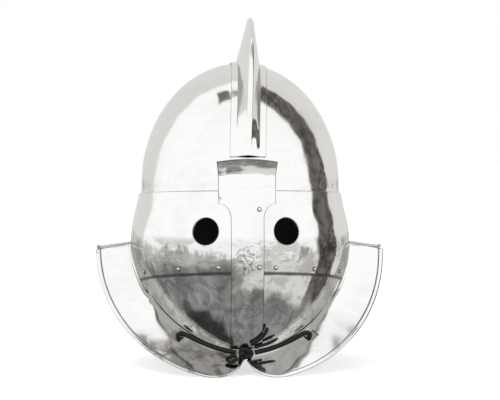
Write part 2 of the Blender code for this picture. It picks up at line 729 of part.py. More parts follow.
def make_lace(leather):
    """The lace: from the knot out to each slot, through it and back inside the chin."""
    outside = PLATE + CLEARANCE + LACE_RADIUS
    turn = np.array(LACE_TURN)
    through = jaw_place(LACE_ANGLE + 0 * turn[:, 0], SLOT_FROM_JAW + turn[:, 0], turn[:, 1])
    x = np.linspace(KNOT_SIZE[0] + CLEARANCE, through[0, 0] * 0.86, 4)
    fall = np.linspace(0, 1, 4) ** 1.3
    front = form_at_x(x, KNOT_HEIGHT + (through[0, 2] + LACE_RADIUS - KNOT_HEIGHT) * fall, outside)
    point, normal, up = jaw_frame(np.radians((60, 68, 76, 84)))
    back = point - normal * (SHEET + 3 * CLEARANCE + LACE_RADIUS) + up * FLANGE_LEG
    half = np.concatenate([front, through, back])
    route = np.concatenate([half, mirrored(half)])
    tube("chin_lace", smooth_route(route, LACE_STEP), LACE_RADIUS, leather)


def make_knot(leather):
    """The knot over the chin, its bow on the left and two free ends up on the right."""
    knot_at = form_at_x(0.0, KNOT_HEIGHT, PLATE + CLEARANCE + KNOT_SIZE[1])
    shape = bmesh.new()
    bmesh.ops.create_uvsphere(shape, u_segments=12, v_segments=8, radius=1)
    bmesh.ops.scale(shape, vec=KNOT_SIZE, verts=shape.verts)
    mesh = bpy.data.meshes.new("lace_knot")
    shape.to_mesh(mesh)
    shape.free()
    knot = add_object("lace_knot", mesh, leather)
    knot.matrix_world = along(knot_at, (0, 0, 1), (0, 1, 0))
    loop = knot_at + np.array(BOW) * (1, -1, 1)
    tube("lace_bow", smooth_route(loop, LACE_STEP / 2), LACE_END_RADIUS, leather)
    ends = (("lace_end_1", END_ONE, LACE_END_RADIUS), ("lace_end_2", END_TWO, LACE_TIP_RADIUS))
    for name, table, radius in ends:
        row = np.array(table)
        route = form_at_x(row[:, 0], KNOT_HEIGHT + row[:, 1], PLATE + CLEARANCE + radius)
        tube(name, smooth_route(route, LACE_STEP / 2), radius, leather)


def stand_at_origin():
    """Move all pieces and cutters together: the lowest point to z = 0, the middle to x = y = 0."""
    bpy.context.view_layer.update()
    graph = bpy.context.evaluated_depsgraph_get()
    points = []
    for obj in HELMET.objects:
        mesh = obj.evaluated_get(graph).to_mesh()
        found = np.empty(len(mesh.vertices) * 3)
        mesh.vertices.foreach_get("co", found)
        place = np.array(obj.matrix_world)
        points.append(found.reshape(-1, 3) @ place[:3, :3].T + place[:3, 3])
    points = np.concatenate(points)
    low, high = points.min(axis=0), points.max(axis=0)
    middle = (low + high) / 2
    move = Matrix.Translation((-middle[0], -middle[1], -low[2]))
    for obj in list(HELMET.objects) + list(CUTTERS.objects):
        obj.matrix_world = move @ obj.matrix_world


clear_scene()
HELMET = bpy.data.collections.new("gladiator_helmet")
CUTTERS = bpy.data.collections.new("cutters")
bpy.context.scene.collection.children.link(HELMET)
bpy.context.scene.collection.children.link(CUTTERS)
STEEL = material("polished_steel", (0.78, 0.78, 0.77), 1.0, 0.12)
LEATHER = material("black_leather", (0.012, 0.011, 0.010), 0.0, 0.6)

make_bowl(STEEL)
PLATES = make_visor(STEEL)
BAND = make_nose_band(STEEL)
make_flanges(STEEL)
make_neck_guard(STEEL)
make_crest(STEEL)
make_rivets(PLATES, BAND, STEEL)
make_hinges(STEEL)
make_lace(LEATHER)
make_knot(LEATHER)
stand_at_origin()
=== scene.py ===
import math

import bmesh
import bpy
import numpy as np
from bpy.props import FloatProperty, FloatVectorProperty, PointerProperty
from mathutils import Matrix, Vector


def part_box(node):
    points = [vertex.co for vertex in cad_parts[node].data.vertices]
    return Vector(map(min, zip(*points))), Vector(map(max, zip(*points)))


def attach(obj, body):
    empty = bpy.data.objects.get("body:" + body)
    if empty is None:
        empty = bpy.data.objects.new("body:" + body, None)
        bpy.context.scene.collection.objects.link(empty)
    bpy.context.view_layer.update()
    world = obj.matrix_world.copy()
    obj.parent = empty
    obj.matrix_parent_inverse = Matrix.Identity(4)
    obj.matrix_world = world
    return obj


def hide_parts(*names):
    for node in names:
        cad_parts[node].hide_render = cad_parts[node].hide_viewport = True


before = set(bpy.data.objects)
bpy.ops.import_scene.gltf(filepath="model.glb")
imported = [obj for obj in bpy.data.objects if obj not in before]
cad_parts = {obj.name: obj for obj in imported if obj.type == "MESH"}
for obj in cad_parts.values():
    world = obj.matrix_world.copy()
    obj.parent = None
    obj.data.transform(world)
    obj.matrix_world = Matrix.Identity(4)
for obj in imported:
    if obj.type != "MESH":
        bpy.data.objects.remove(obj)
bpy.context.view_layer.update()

bl_info = {
    "name": "Gladiator helmet",
    "version": (1, 0, 0),
    "blender": (4, 5, 0),
    "location": "3D View > Sidebar > Helmet",
    "description": "Sheets, rivets, hinges and lace of a polished steel helmet, and its studio",
    "category": "Object",
}

# Sheet and clearances, in metres
SHEET = 0.0015
CREST_SHEET = 0.0012
CLEARANCE = 0.0005
HALF_JOINT = 0.0004
PLATE = SHEET + CLEARANCE

# Bowl: half an ellipsoid over the equator, and a skirt below it
EQUATOR_HEIGHT = 0.1833
BOWL_RISE = 0.1257
BOWL_HALF_WIDTH = 0.1015
BOWL_FRONT = 0.1152
BOWL_BACK = 0.1170
FACE_CUT_HEIGHT = EQUATOR_HEIGHT - 0.0143
FACE_CUT_ANGLES = (math.radians(48), math.radians(72))

# Ears and nape
EAR_HEIGHT = 0.1270
EAR_HALF_WIDTH = 0.1104
NAPE_HEIGHT = 0.0400
NAPE_BACK = 0.1030

# Visor
VISOR_FRONT = 0.1210
VISOR_FRONT_HEIGHT = 0.1150
BROW_HEIGHT = 0.1822
BROW_DROP = 0.0069
SEAM_HEIGHT = 0.1021
SEAM_DROP = 0.0140
SEAM_LAP = 0.0110
CHIN_HEIGHT = 0.0185
CHIN_FRONT = 0.0950
VISOR_END_ANGLE = math.radians(91.5)
EYE_SPACING = 0.0778
EYE_HEIGHT = 0.1422
EYE_RADIUS = 0.0131

# How the form falls away from its widest places, and the jaw line seen from the front
SKIRT_POWER = 1.8
BROW_POWER = 1.5
CHIN_POWER = 1.7
NAPE_POWER = 1.8
NAPE_QUICKNESS = 1.2
JAW_TAPER = 0.38
JAW_TAPER_POWER = 1.74
JAW_POWER = 1.85
NAPE_TAPER = 0.16
JAW_TOP_SHARE = math.sin(math.radians(89.5))
PAST_EDGE = 1.1

# Nose band and its head plate
BAND_OFFSET = 0.0010
BAND_HALF_WIDTH = 0.0156
BAND_END_HEIGHT = 0.0267
BAND_NECK_HEIGHT = 0.1540
HEAD_HALF_WIDTH = 0.0268
HEAD_SIDE_HEIGHT = BAND_NECK_HEIGHT + 0.0150
HEAD_TOP_HEIGHT = HEAD_SIDE_HEIGHT + 0.0390
HEAD_ARCH = 0.0026
HEAD_FLARE = 0.0055
HEAD_FLARE_LENGTH = 0.0130

# Shallow dents in the nose band
DENTS_HEIGHT = 0.1170
DENTS_SIDE = 0.0010
DENTS_REACH = 0.0120
DENTS_WAVE = 0.0115
DENTS_DEPTH = 0.00022

# Flanges and neck guard
FLANGE_LEG = 0.0060
FLANGE_HALF_WIDTH = 0.1481
FLANGE_TOP_HEIGHT = 0.1225
FLANGE_FORWARD = 0.0268
FLANGE_POWER = 2.15
FLANGE_START = math.radians(1.5)
LOBE_START = math.radians(76)
LOBE_END = math.radians(88.7)
LOBE_DIP = 0.0026
GUARD_START = math.radians(93)
GUARD_LEG = 0.0080
GUARD_EAR_DROP = 0.0050
GUARD_NAPE_REACH = 0.0377
GUARD_QUICKNESS = 90 / 65
RIM_WIDTH = 0.0048
RIM_HEIGHT = 0.0012

# Slots for the lace
SLOT_ANGLE = math.radians(54.5)
SLOT_LENGTH = 0.0142
SLOT_WIDTH = 0.0100
SLOT_FROM_JAW = 0.0061
LACE_ANGLE = math.radians(55.9)

# Crest
CREST_HEIGHT = 0.0459
CREST_END_HEIGHT = 0.0045
CREST_BASE_HALF_WIDTH = 0.0112
CREST_RIDGE_HALF_WIDTH = 0.0022
CREST_FOOT = 0.0062
CREST_START = math.radians(14.5)
CREST_END = math.radians(176)
CREST_APEX = math.radians(96)
CREST_SIDE_FRONT = 0.0015
CREST_SIDE_CROWN = 0.0075
CREST_LEAN = -0.0014
CREST_ARC_POWER = 1.25
CREST_SIDE_POWER = 1.1
CREST_LOW = 0.34
CREST_CAP = 0.94

# Rivets and hinges
RIVET_DOME = 0.00133
RIVET_SHANK = 0.0012
RIVET_CLINCH = 0.0008
RIVET_INSET = 0.0058
RIVETS_LEFT = (0.239, 0.578, 0.877)
RIVETS_RIGHT = (0.256, 0.608, 0.865)
BAND_RIVET_SIDE = 0.0120
BAND_RIVET_HEIGHTS = (FACE_CUT_HEIGHT - 0.0055, SEAM_HEIGHT + 0.0057)
HINGE_LENGTH = 0.0260
HINGE_LEAF = 0.0130
HINGE_BARREL = 0.0011
HINGE_HEIGHT = 0.1540
HINGE_GAP = 1.2 * CLEARANCE

# Lace: knot, turn through a slot (out from its middle, up off the flange), bow and free ends
KNOT_HEIGHT = 0.0247
KNOT_SIZE = (0.0082, 0.0042, 0.0064)
LACE_TURN = (
    (0.0000, 0.0056),
    (0.0002, 0.0000),
    (-0.0020, -0.0046),
    (-0.0076, -0.0066),
    (-0.0128, -0.0040),
    (-0.0140, 0.0015),
)
BOW = (
    (-0.0094, 0.0023, -0.0012),
    (-0.0138, 0.0021, -0.0024),
    (-0.0183, 0.0007, -0.0050),
    (-0.0146, 0.0022, -0.0082),
    (-0.0106, 0.0027, -0.0064),
    (-0.0082, 0.0019, -0.0043),
)
END_ONE = ((0.0046, 0.0080), (0.0090, 0.0105), (0.0137, 0.0142), (0.0176, 0.0188), (0.0203, 0.0249))
END_TWO = ((0.0086, 0.0049), (0.0140, 0.0062), (0.0200, 0.0080), (0.0260, 0.0106), (0.0310, 0.0134))
ROUTE_STEP = 0.0009
CREASE_SHARE = 0.025
CREASE_WAVES = (0.0061, 0.0173)
KNOT_STRAND = 0.0021

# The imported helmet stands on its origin: the move from the formulas' own frame to it
BOWL_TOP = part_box("bowl")[1]
STAND = np.array((0, BOWL_TOP.y - BOWL_BACK, BOWL_TOP.z - EQUATOR_HEIGHT - BOWL_RISE))

# Camera and studio
CAMERA_AZIMUTH = math.radians(-3)
CAMERA_ELEVATION = math.radians(2)
CAMERA_DISTANCE = 2.0
CAMERA_LENS = 139.8
CAMERA_SHIFT = 0.02
CAMERA_TARGET = Vector((0, STAND[1], 0.1689 + STAND[2]))
SECOND_BOUNCE = 0.80
FLOOR_HALF = 12.0
FLOOR_GLOW = 0.62
LAMP_SIZE = 0.5
LAMP_POWER = 18
LAMP_PLACE = Vector((-0.9, -1.4, 2.2))

# Room: edges as (factor of the rise, offset), steps between two shares of a direction, and colours
BACK_EDGE = (0.25, -0.57)
STRIP_EDGE = (0.14, -0.08)
STRIP_SIDE = (0.24, 0.29)
STRIP_FOOT = (-0.50, -0.42)
STRIP_COLOURS = ((0.055, 0.05, 0.045, 1), (0.19, 0.175, 0.16, 1))
PANEL_PLACE = (-0.27, -0.04)
PANEL_EDGES = ((0.11, 0.09), (0.14, 0.11))
PANEL_COLOUR = (0.16, 0.15, 0.14, 1)
CANOPY_PLACE = (-0.07, -0.05)
CANOPY_HALF = (0.25, 0.20)
CANOPY_EDGE = (0.10, 0.06)
CANOPY_COLOUR = (0.34, 0.33, 0.31, 1)
HAZE_LEVELS = (-0.05, -0.09)
GROUND_LEVELS = (-0.20, -0.27)
PATCH_LEVELS = (-0.51, -0.46)
WEDGE_SLOPE = (-0.83, -0.85)
WEDGE_SIDE = (-0.24, -0.28)
MIRRORED_ONCE_MORE = (2.4, 2.6)

# Marks on the steel, with painted shade lines at seams and rims and painted dark reflections. Distances from
# an edge are in millimetres. Tops, feet, sides, reaches and the dents' place are in metres. Widths and sizes
# are steps between two values of a noise, and turns are in radians. The seam factor scales the distance from
# the seam: a smaller one widens the painted shade line there.
FAR_FROM_EDGE = 50.0
FACE_FROM_EDGE = (0.01, 0.08)
SEAM_SHADE_SCALE = 0.35
RIM_LINE = 0.1
# Colour of the painted shade line along seams, rim creases, rivet rims and sheet edges, and of the painted
# dark curls at the dents
PAINTED_SHADE_COLOUR = (0.03, 0.028, 0.025, 1)
HAZE_TOP = (0.139, 0.131)
HAZE_FOOT = (0.094, 0.104)
SCUFFS_TOP = (0.101, 0.096)
DENTS_PLACE = (DENTS_SIDE, 0, DENTS_HEIGHT + STAND[2])
CURL_WIDTH = (0.024, 0.010)
CURLS_REACH = (0.0125, 0.0085)
LOBE_REFLECTION_TOP = (0.038, 0.033)
LOBE_REFLECTION_SIDE = (-0.004, -0.010)
SMUDGE_TURN = (0.3, 0.5, 0.7)
SCRATCH_TURN = (0.2, 0.9, 0.4)
PIT_SIZES = (0.62, 0.75)


def length(name, description, default, least=0.0005):
    """A size in metres."""
    return FloatProperty(name=name, description=description, default=default, min=least, unit="LENGTH")


def shade(name, description, default):
    """A colour."""
    return FloatVectorProperty(
        name=name, description=description, default=default, min=0, max=1, subtype="COLOR",
    )


def brightness(name, description, default):
    """How bright a part of the room is."""
    return FloatProperty(name=name, description=description, default=default, min=0)


class HelmetSizes(bpy.types.PropertyGroup):
    """Sizes of the hand work on the helmet."""

    sheet: length("Sheet", "Thickness of the steel sheet", SHEET)
    crest_sheet: length("Crest sheet", "Thickness of the crest's sheet", CREST_SHEET)
    rivet_radius: length("Rivet radius", "Radius of a rivet's head", 0.0024, 0.001)
    lace_radius: length("Lace radius", "Radius of the leather lace", 0.0025, 0.001)
    end_radius: length("Bow radius", "Radius of the bow and of the first free end", 0.0019)
    tip_radius: length("Tip radius", "Radius of the second free end", 0.0015)
    planish_depth: length("Planishing depth", "Height of the low waves that the hammer leaves", 0.00009, 0.0)
    planish_wave: length("Planishing wave", "Distance between two of those waves", 0.030, 0.002)


class HelmetColours(bpy.types.PropertyGroup):
    """Colours and polish of the helmet."""

    steel: shade("Steel", "Colour of the polished steel", (0.93, 0.925, 0.915))
    # Tarnish colour, also the painted shade at seams, rim creases and rivet rims, and the painted dark
    # reflection on the left flange's lobe
    tarnish_painted_shade_and_reflection: shade("Tarnish", "Colour of the steel where it has dulled", (0.30, 0.28, 0.26))
    # The inside is near black as painted shade: the shade inside the helmet, seen through the eye holes
    inside: shade("Inside", "Colour of the inside painted dark as shade", (0.012, 0.011, 0.010))
    leather: shade("Leather", "Colour of the lace", (0.004, 0.0037, 0.0035))
    polish: FloatProperty(
        name="Roughness", description="Roughness of the polished steel",
        default=0.07, min=0, max=1, subtype="FACTOR",
    )


class HelmetStudio(bpy.types.PropertyGroup):
    """Brightness of the studio round the helmet."""

    front: brightness("Front", "Brightness of the white room in front of the helmet", 1.05)
    behind: brightness("Behind", "Brightness of the room behind the helmet", 0.74)
    below: brightness("Below", "Brightness of the room's lower half", 0.24)
    floor: shade("Floor", "Colour of the floor", (0.70, 0.70, 0.70))


# Form of the head


def ramp(value, low, high):
    """0 below low, 1 above high, and three squares less two cubes of the share between them."""
    share = np.clip((value - low) / (high - low), 0, 1)
    return share * share * (3 - 2 * share)


def below_ear(z, bottom):
    """Share of the way from ear height down to bottom, and a little past it."""
    return np.clip((EAR_HEIGHT - z) / (EAR_HEIGHT - bottom), 0, PAST_EDGE)


def dome_share(z):
    """Radius of the bowl at a height as a share of its radius at the equator: an ellipse."""
    up = np.clip((z - EQUATOR_HEIGHT) / BOWL_RISE, 0, 1)
    return np.sqrt(1 - up * up)


def form_width(z, back):
    """Half-width at height z: an ellipse above, a sine below it, and a power law to chin or nape."""
    down = np.clip((EQUATOR_HEIGHT - z) / (EQUATOR_HEIGHT - EAR_HEIGHT), 0, 1)
    skirt = BOWL_HALF_WIDTH + (EAR_HALF_WIDTH - BOWL_HALF_WIDTH) * np.sin(down * math.pi / 2) ** SKIRT_POWER
    jaw = EAR_HALF_WIDTH * (1 - JAW_TAPER * below_ear(z, CHIN_HEIGHT) ** JAW_TAPER_POWER)
    nape = EAR_HALF_WIDTH * (1 - NAPE_TAPER * below_ear(z, NAPE_HEIGHT) ** JAW_TAPER_POWER)
    lower = np.where(z > EAR_HEIGHT, skirt, np.where(back, nape, jaw))
    return np.where(z > EQUATOR_HEIGHT, BOWL_HALF_WIDTH * dome_share(z), lower)


def form_front(z):
    """Reach to the front at height z: the bowl's ellipse, then power laws over brow and chin."""
    up = np.clip((z - VISOR_FRONT_HEIGHT) / (EQUATOR_HEIGHT - VISOR_FRONT_HEIGHT), 0, 1)
    brow = VISOR_FRONT - (VISOR_FRONT - BOWL_FRONT) * up**BROW_POWER
    down = np.clip((VISOR_FRONT_HEIGHT - z) / (VISOR_FRONT_HEIGHT - CHIN_HEIGHT), 0, PAST_EDGE)
    chin = VISOR_FRONT - (VISOR_FRONT - CHIN_FRONT) * down**CHIN_POWER
    lower = np.where(z > VISOR_FRONT_HEIGHT, brow, chin)
    return np.where(z > EQUATOR_HEIGHT, BOWL_FRONT * dome_share(z), lower)


def form_back(z):
    """Reach to the back at height z: the bowl's ellipse, then a power law down to the nape."""
    down = np.clip((EQUATOR_HEIGHT - z) / (EQUATOR_HEIGHT - NAPE_HEIGHT), 0, PAST_EDGE)
    skirt = BOWL_BACK - (BOWL_BACK - NAPE_BACK) * down**NAPE_POWER
    return np.where(z > EQUATOR_HEIGHT, BOWL_BACK * dome_share(z), skirt)


def form_base(phi, z):
    """Point of the head form: an ellipse of half-width and reach at each height."""
    phi, z = np.broadcast_arrays(np.asarray(phi, float), np.asarray(z, float))
    back = np.cos(phi) < 0
    reach = np.where(back, form_back(z), form_front(z))
    return np.stack([form_width(z, back) * np.sin(phi), -reach * np.cos(phi), z], axis=-1)


def unit(vectors):
    """Vectors divided by their lengths."""
    return vectors / np.maximum(np.linalg.norm(vectors, axis=-1, keepdims=True), 1e-12)


def form_normal(phi, z):
    """Outward normal of the head form: the cross product of its two differences."""
    step = 1e-4
    round_it = form_base(phi + step, z) - form_base(phi - step, z)
    up_it = form_base(phi, z + step) - form_base(phi, z - step)
    return unit(np.cross(round_it, up_it))


def form(phi, z, offset):
    """Point of the head form moved out along its normal."""
    phi, z = np.broadcast_arrays(np.asarray(phi, float), np.asarray(z, float))
    return form_base(phi, z) + form_normal(phi, z) * np.asarray(offset, float)[..., None]


def form_at_x(x, z, offset):
    """Point of the front at a place x: the angle is the arc sine of x over the half-width."""
    x, z = np.broadcast_arrays(np.asarray(x, float), np.asarray(z, float))
    phi = np.arcsin(np.clip(x / form_width(z, np.zeros(z.shape, bool)), -1, 1))
    return form(phi, z, offset)


def jaw_line(angle):
    """(phi, z) of the jaw line, a superellipse on a front view, from ear to chin."""
    across, down = np.cos(angle) ** (2 / JAW_POWER), np.sin(angle) ** (2 / JAW_POWER)
    z = EAR_HEIGHT - (EAR_HEIGHT - CHIN_HEIGHT) * down
    width = form_width(z, np.zeros(np.shape(z), bool))
    x = np.maximum(EAR_HALF_WIDTH * across, HALF_JOINT)
    return np.arcsin(np.minimum(x / width, JAW_TOP_SHARE)), z


def jaw_angle(z):
    """Angle phi of the jaw line at height z, and the visor's end above the ears."""
    down = np.minimum(below_ear(z, CHIN_HEIGHT), 1)
    across = (1 - down**JAW_POWER) ** (1 / JAW_POWER)
    width = form_width(z, np.zeros(np.shape(z), bool))
    phi = np.arcsin(np.clip(EAR_HALF_WIDTH * across / width, 0, JAW_TOP_SHARE))
    return np.where(z > EAR_HEIGHT, VISOR_END_ANGLE, phi)


def seam_height(share):
    """Height of the eye plates' lower edge: a cosine drop from the nose to the side."""
    return SEAM_HEIGHT - SEAM_DROP * (1 - np.cos(share * math.pi / 2))


def jaw_frame(angle):
    """Jaw line points, the form's normal there and the direction up the plate."""
    phi, z = jaw_line(angle)
    normal = form_normal(phi, z)
    step = 1e-3
    tangent = form_base(*jaw_line(angle + step)) - form_base(*jaw_line(angle - step))
    return form_base(phi, z), normal, unit(np.cross(tangent, normal))


def bowl_rim(phi):
    """Height of the bowl's lower edge: smooth steps over the face and a squared sine to the nape."""
    turn = np.abs(phi)
    face = EAR_HEIGHT + (FACE_CUT_HEIGHT - EAR_HEIGHT) * (1 - ramp(turn, *FACE_CUT_ANGLES))
    behind = np.clip((turn - math.pi / 2) * NAPE_QUICKNESS, 0, math.pi / 2)
    nape = EAR_HEIGHT - (EAR_HEIGHT - NAPE_HEIGHT) * np.sin(behind) ** 2
    return np.where(turn > math.pi / 2, nape, face)


# Meshes from grids of points

ALL_ROUND = "top bottom left right"


def planished(points):
    """Points moved along their normals by a product of two sines and a slower third."""
    sizes = bpy.context.scene.helmet_sizes
    turn = 2 * math.pi / sizes.planish_wave
    x, y, z = np.moveaxis(points, -1, 0)
    wave = np.sin(turn * (x + 0.6 * y)) * np.sin(turn * (z - 0.5 * x) * 0.83 + 1.1)
    wave = wave + 0.8 * np.sin(turn * 0.47 * (z + 0.9 * x - 0.7 * y))
    rows, columns = np.gradient(points, axis=0), np.gradient(points, axis=1)
    return points + unit(np.cross(rows, columns)) * (sizes.planish_depth * wave)[..., None]


def border_distance(points, borders):
    """Millimetres to the nearest named border of a grid, measured along its rows and columns."""
    nearest = np.full(points.shape[:2], FAR_FROM_EDGE)
    for name, axis in (("top", 0), ("bottom", 0), ("left", 1), ("right", 1)):
        if name not in borders:
            continue
        steps = np.linalg.norm(np.diff(points, axis=axis), axis=-1) * 1000
        if name in ("bottom", "right"):
            steps = np.flip(steps, axis)
        walked = np.cumsum(steps, axis=axis)
        start = np.zeros_like(np.take(walked, [0], axis=axis))
        walked = np.concatenate([start, walked], axis=axis)
        if name in ("bottom", "right"):
            walked = np.flip(walked, axis)
        nearest = np.minimum(nearest, walked)
    return nearest


def grid_piece(name, points, node, finishes, side=1, borders="", keep=None, wall=None, near=None):
    """A steel piece from a grid of points: one face between four neighbours, and a wall if asked.

    Each point keeps its distance in millimetres to a border, or to a line if that is nearer.
    """
    distance = border_distance(points, borders.split())
    if near is not None:
        distance = np.minimum(distance, near)
    points = (points * (side, 1, 1) + STAND).reshape(-1, 3)
    index = np.arange(distance.size).reshape(distance.shape)
    corners = [index[:-1, :-1], index[:-1, 1:], index[1:, 1:], index[1:, :-1]]
    faces = np.stack(corners[::side], axis=-1)
    faces = faces[keep] if keep is not None else faces.reshape(-1, 4)
    mesh = bpy.data.meshes.new(name)
    mesh.from_pydata(points.tolist(), [], faces.tolist())
    mesh.attributes.new("edge", "FLOAT", "POINT").data.foreach_set("value", distance.ravel())
    shape = bmesh.new()
    shape.from_mesh(mesh)
    bmesh.ops.remove_doubles(shape, verts=shape.verts, dist=1e-6)
    loose = [vert for vert in shape.verts if not vert.link_faces]
    bmesh.ops.delete(shape, geom=loose, context="VERTS")
    shape.to_mesh(mesh)
    shape.free()
    mesh.shade_smooth()
    mesh.set_sharp_from_angle(angle=math.radians(32))
    for finish in finishes:
        mesh.materials.append(finish)
    made = bpy.data.objects.new(name, mesh)
    bpy.context.scene.collection.objects.link(made)
    if wall is not None:
        solid = made.modifiers.new("Wall", "SOLIDIFY")
        solid.thickness, solid.offset = wall, -1
        solid.use_quality_normals = True
        solid.material_offset = len(finishes) - 1
        solid.material_offset_rim = 0
        soften = made.modifiers.new("Worn edges", "BEVEL")
        soften.width, soften.segments = wall / 5, 2
        soften.limit_method, soften.angle_limit = "ANGLE", math.radians(55)
        soften.harden_normals = True
    return seated(made, node)


def seated(made, node):
    """The piece takes a CAD node's place and rides on the helmet."""
    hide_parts(node)
    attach(made, "root")
    return made


def stretches(*ends_and_counts):
    """Values from one end to the next, evenly within each stretch."""
    parts = [np.linspace(a, b, n, endpoint=False) for a, b, n in ends_and_counts]
    return np.concatenate(parts + [[ends_and_counts[-1][1]]])


def revolved(profile, steps, place):
    """A profile of (radius, height) turned round the Z of a place, from its top down."""
    radius, height = np.array(profile).T
    turn = np.linspace(2 * math.pi, 0, steps + 1)
    points = np.stack(
        [radius[:, None] * np.cos(turn), radius[:, None] * np.sin(turn), height[:, None] + 0 * turn],
        axis=-1,
    )
    place = np.array(place)
    return points @ place[:3, :3].T + place[:3, 3]


def along(origin, direction, across=(0, 0, 1)):
    """Matrix at origin whose Z is the direction and whose Y leans towards across."""
    z_axis = Vector(direction).normalized()
    x_axis = Vector(across).cross(z_axis).normalized()
    turn = Matrix((x_axis, z_axis.cross(x_axis), z_axis)).transposed().to_4x4()
    return Matrix.Translation(Vector(origin)) @ turn


def smooth_route(points, step):
    """Points a step apart along a Catmull-Rom curve through the route's own points."""
    points = np.asarray(points, float)
    first, last = 2 * points[:1] - points[1:2], 2 * points[-1:] - points[-2:-1]
    padded = np.concatenate([first, points, last])
    a, b, c, d = (padded[i : len(padded) - 3 + i, None] for i in range(4))
    t = np.linspace(0, 1, 40, endpoint=False)[None, :, None]
    curve = 2 * b + (c - a) * t + (2 * a - 5 * b + 4 * c - d) * t**2
    curve = (curve + (3 * b - a - 3 * c + d) * t**3) / 2
    dense = np.concatenate([curve.reshape(-1, 3), points[-1:]])
    length = np.concatenate([[0], np.cumsum(np.linalg.norm(np.diff(dense, axis=0), axis=1))])
    wanted = np.linspace(0, length[-1], max(3, round(length[-1] / step) + 1))
    return np.stack([np.interp(wanted, length, dense[:, axis]) for axis in range(3)], axis=1)


def lace_piece(name, route, radius, node, closed=False, tips=(0, 0)):
    """A round lace along a route, creased by a product of two sines.

    A rounded tip narrows by a quarter circle over its length.
    """
    route = route + STAND
    count = len(route)
    walked = np.concatenate([[0], np.cumsum(np.linalg.norm(np.diff(route, axis=0), axis=1))])
    share = np.ones(count)
    for tip, far in ((tips[0], walked), (tips[1], walked[-1] - walked)):
        if tip:
            share = np.minimum(share, np.sqrt(1 - (1 - np.clip(far / tip, 0, 1)) ** 2))
    short, long = (np.sin(walked * 2 * math.pi / wave) for wave in CREASE_WAVES)
    creases = 1 + CREASE_SHARE * short * long
    curve = bpy.data.curves.new(name, "CURVE")
    curve.dimensions = "3D"
    curve.bevel_depth = radius
    curve.bevel_resolution = 6
    curve.use_fill_caps = not closed
    spline = curve.splines.new("POLY")
    spline.points.add(count - 1)
    spline.points.foreach_set("co", np.column_stack([route, np.ones(count)]).ravel())
    spline.points.foreach_set("radius", np.maximum(share, 0.06) * np.minimum(creases, 1))
    spline.use_cyclic_u = closed
    spline.use_smooth = True
    curve.materials.append(bpy.data.materials["black leather"])
    made = bpy.data.objects.new(name, curve)
    bpy.context.scene.collection.objects.link(made)
    return seated(made, node)


# Finishes


class Value:
    """An output of a node. Sums, products, steps and blends of it are new nodes in its tree."""

    def __init__(self, node, key=0):
        self.tree, self.socket = node.id_data, node.outputs[key]

    def math(self, operation, *others, clamp=False):
        values = enumerate((self, *others))
        return Value(put(self.tree, "ShaderNodeMath", values, operation=operation, use_clamp=clamp))

    def __add__(self, other):
        return self.math("ADD", other)

    def __sub__(self, other):
        return self.math("SUBTRACT", other)

    def __rsub__(self, other):
        return Value(put(self.tree, "ShaderNodeMath", {0: other, 1: self}, operation="SUBTRACT"))

    def __mul__(self, other):
        return self.math("MULTIPLY", other)

    def __abs__(self):
        return self.math("ABSOLUTE")

    def most(self, other):
        return self.math("MAXIMUM", other)

    def step(self, low, high):
        """A smooth step from 0 at low to 1 at high."""
        inputs = {"Value": self, "From Min": low, "From Max": high}
        return Value(put(self.tree, "ShaderNodeMapRange", inputs, interpolation_type="SMOOTHSTEP"), "Result")

    def blend(self, low, high):
        """A colour between two colours."""
        return Value(put(self.tree, "ShaderNodeMix", {0: self, 6: low, 7: high}, data_type="RGBA"), 2)

    def vector(self, operation, *others, key="Value"):
        values = enumerate((self, *others))
        return Value(put(self.tree, "ShaderNodeVectorMath", values, operation=operation), key)

    def mapped(self, scale, turn=(0, 0, 0)):
        return Value(put(self.tree, "ShaderNodeMapping", {"Vector": self, "Rotation": turn, "Scale": scale}))


def feed(node, inputs):
    """Give a node's inputs, each a plain value or another node's output."""
    for key, value in dict(inputs).items():
        if isinstance(value, Value):
            node.id_data.links.new(value.socket, node.inputs[key])
        else:
            node.inputs[key].default_value = value


def put(tree, kind, inputs=(), **settings):
    """A new node with its settings and inputs."""
    node = tree.nodes.new(kind)
    for key, value in settings.items():
        setattr(node, key, value)
    feed(node, inputs)
    return node


def noise(place, scale, detail=2.0, roughness=0.5, distortion=0.0):
    """A Noise texture's value at a place."""
    inputs = {
        "Vector": place, "Scale": scale, "Detail": detail,
        "Roughness": roughness, "Distortion": distortion,
    }
    return Value(put(place.tree, "ShaderNodeTexNoise", inputs), "Fac")


def object_place(tree):
    """The place on the helmet."""
    return Value(put(tree, "ShaderNodeTexCoord"), "Object")


def new_group(name, inputs, *outputs):
    """An empty shader node group: its tree, the values it is given and its output node."""
    tree = bpy.data.node_groups.new(name, "ShaderNodeTree")
    for label, default in inputs.items():
        socket = tree.interface.new_socket(label, in_out="INPUT", socket_type="NodeSocketFloat")
        socket.default_value = default
    for label in outputs:
        tree.interface.new_socket(label, in_out="OUTPUT", socket_type="NodeSocketFloat")
    given = put(tree, "NodeGroupInput")
    return tree, [Value(given, label) for label in inputs], put(tree, "NodeGroupOutput")


def group_smudges():
    """Clouds left by hand polishing, from two noises, one stretched along the wiping."""
    tree, (scale, sharpness), out = new_group("polishing smudges", {"Scale": 16.0, "Sharpness": 0.1}, "Mask")
    place = object_place(tree)
    broad = noise(place, scale, 4, 0.55, 0.6)
    fine = noise(place.mapped((1, 1, 3.2), SMUDGE_TURN), scale * 3.0, 5, 0.6, 0.9)
    middle = 0.52
    feed(out, {"Mask": (broad * 0.65 + fine * 0.35).step(middle - sharpness, sharpness + middle)})
    return tree


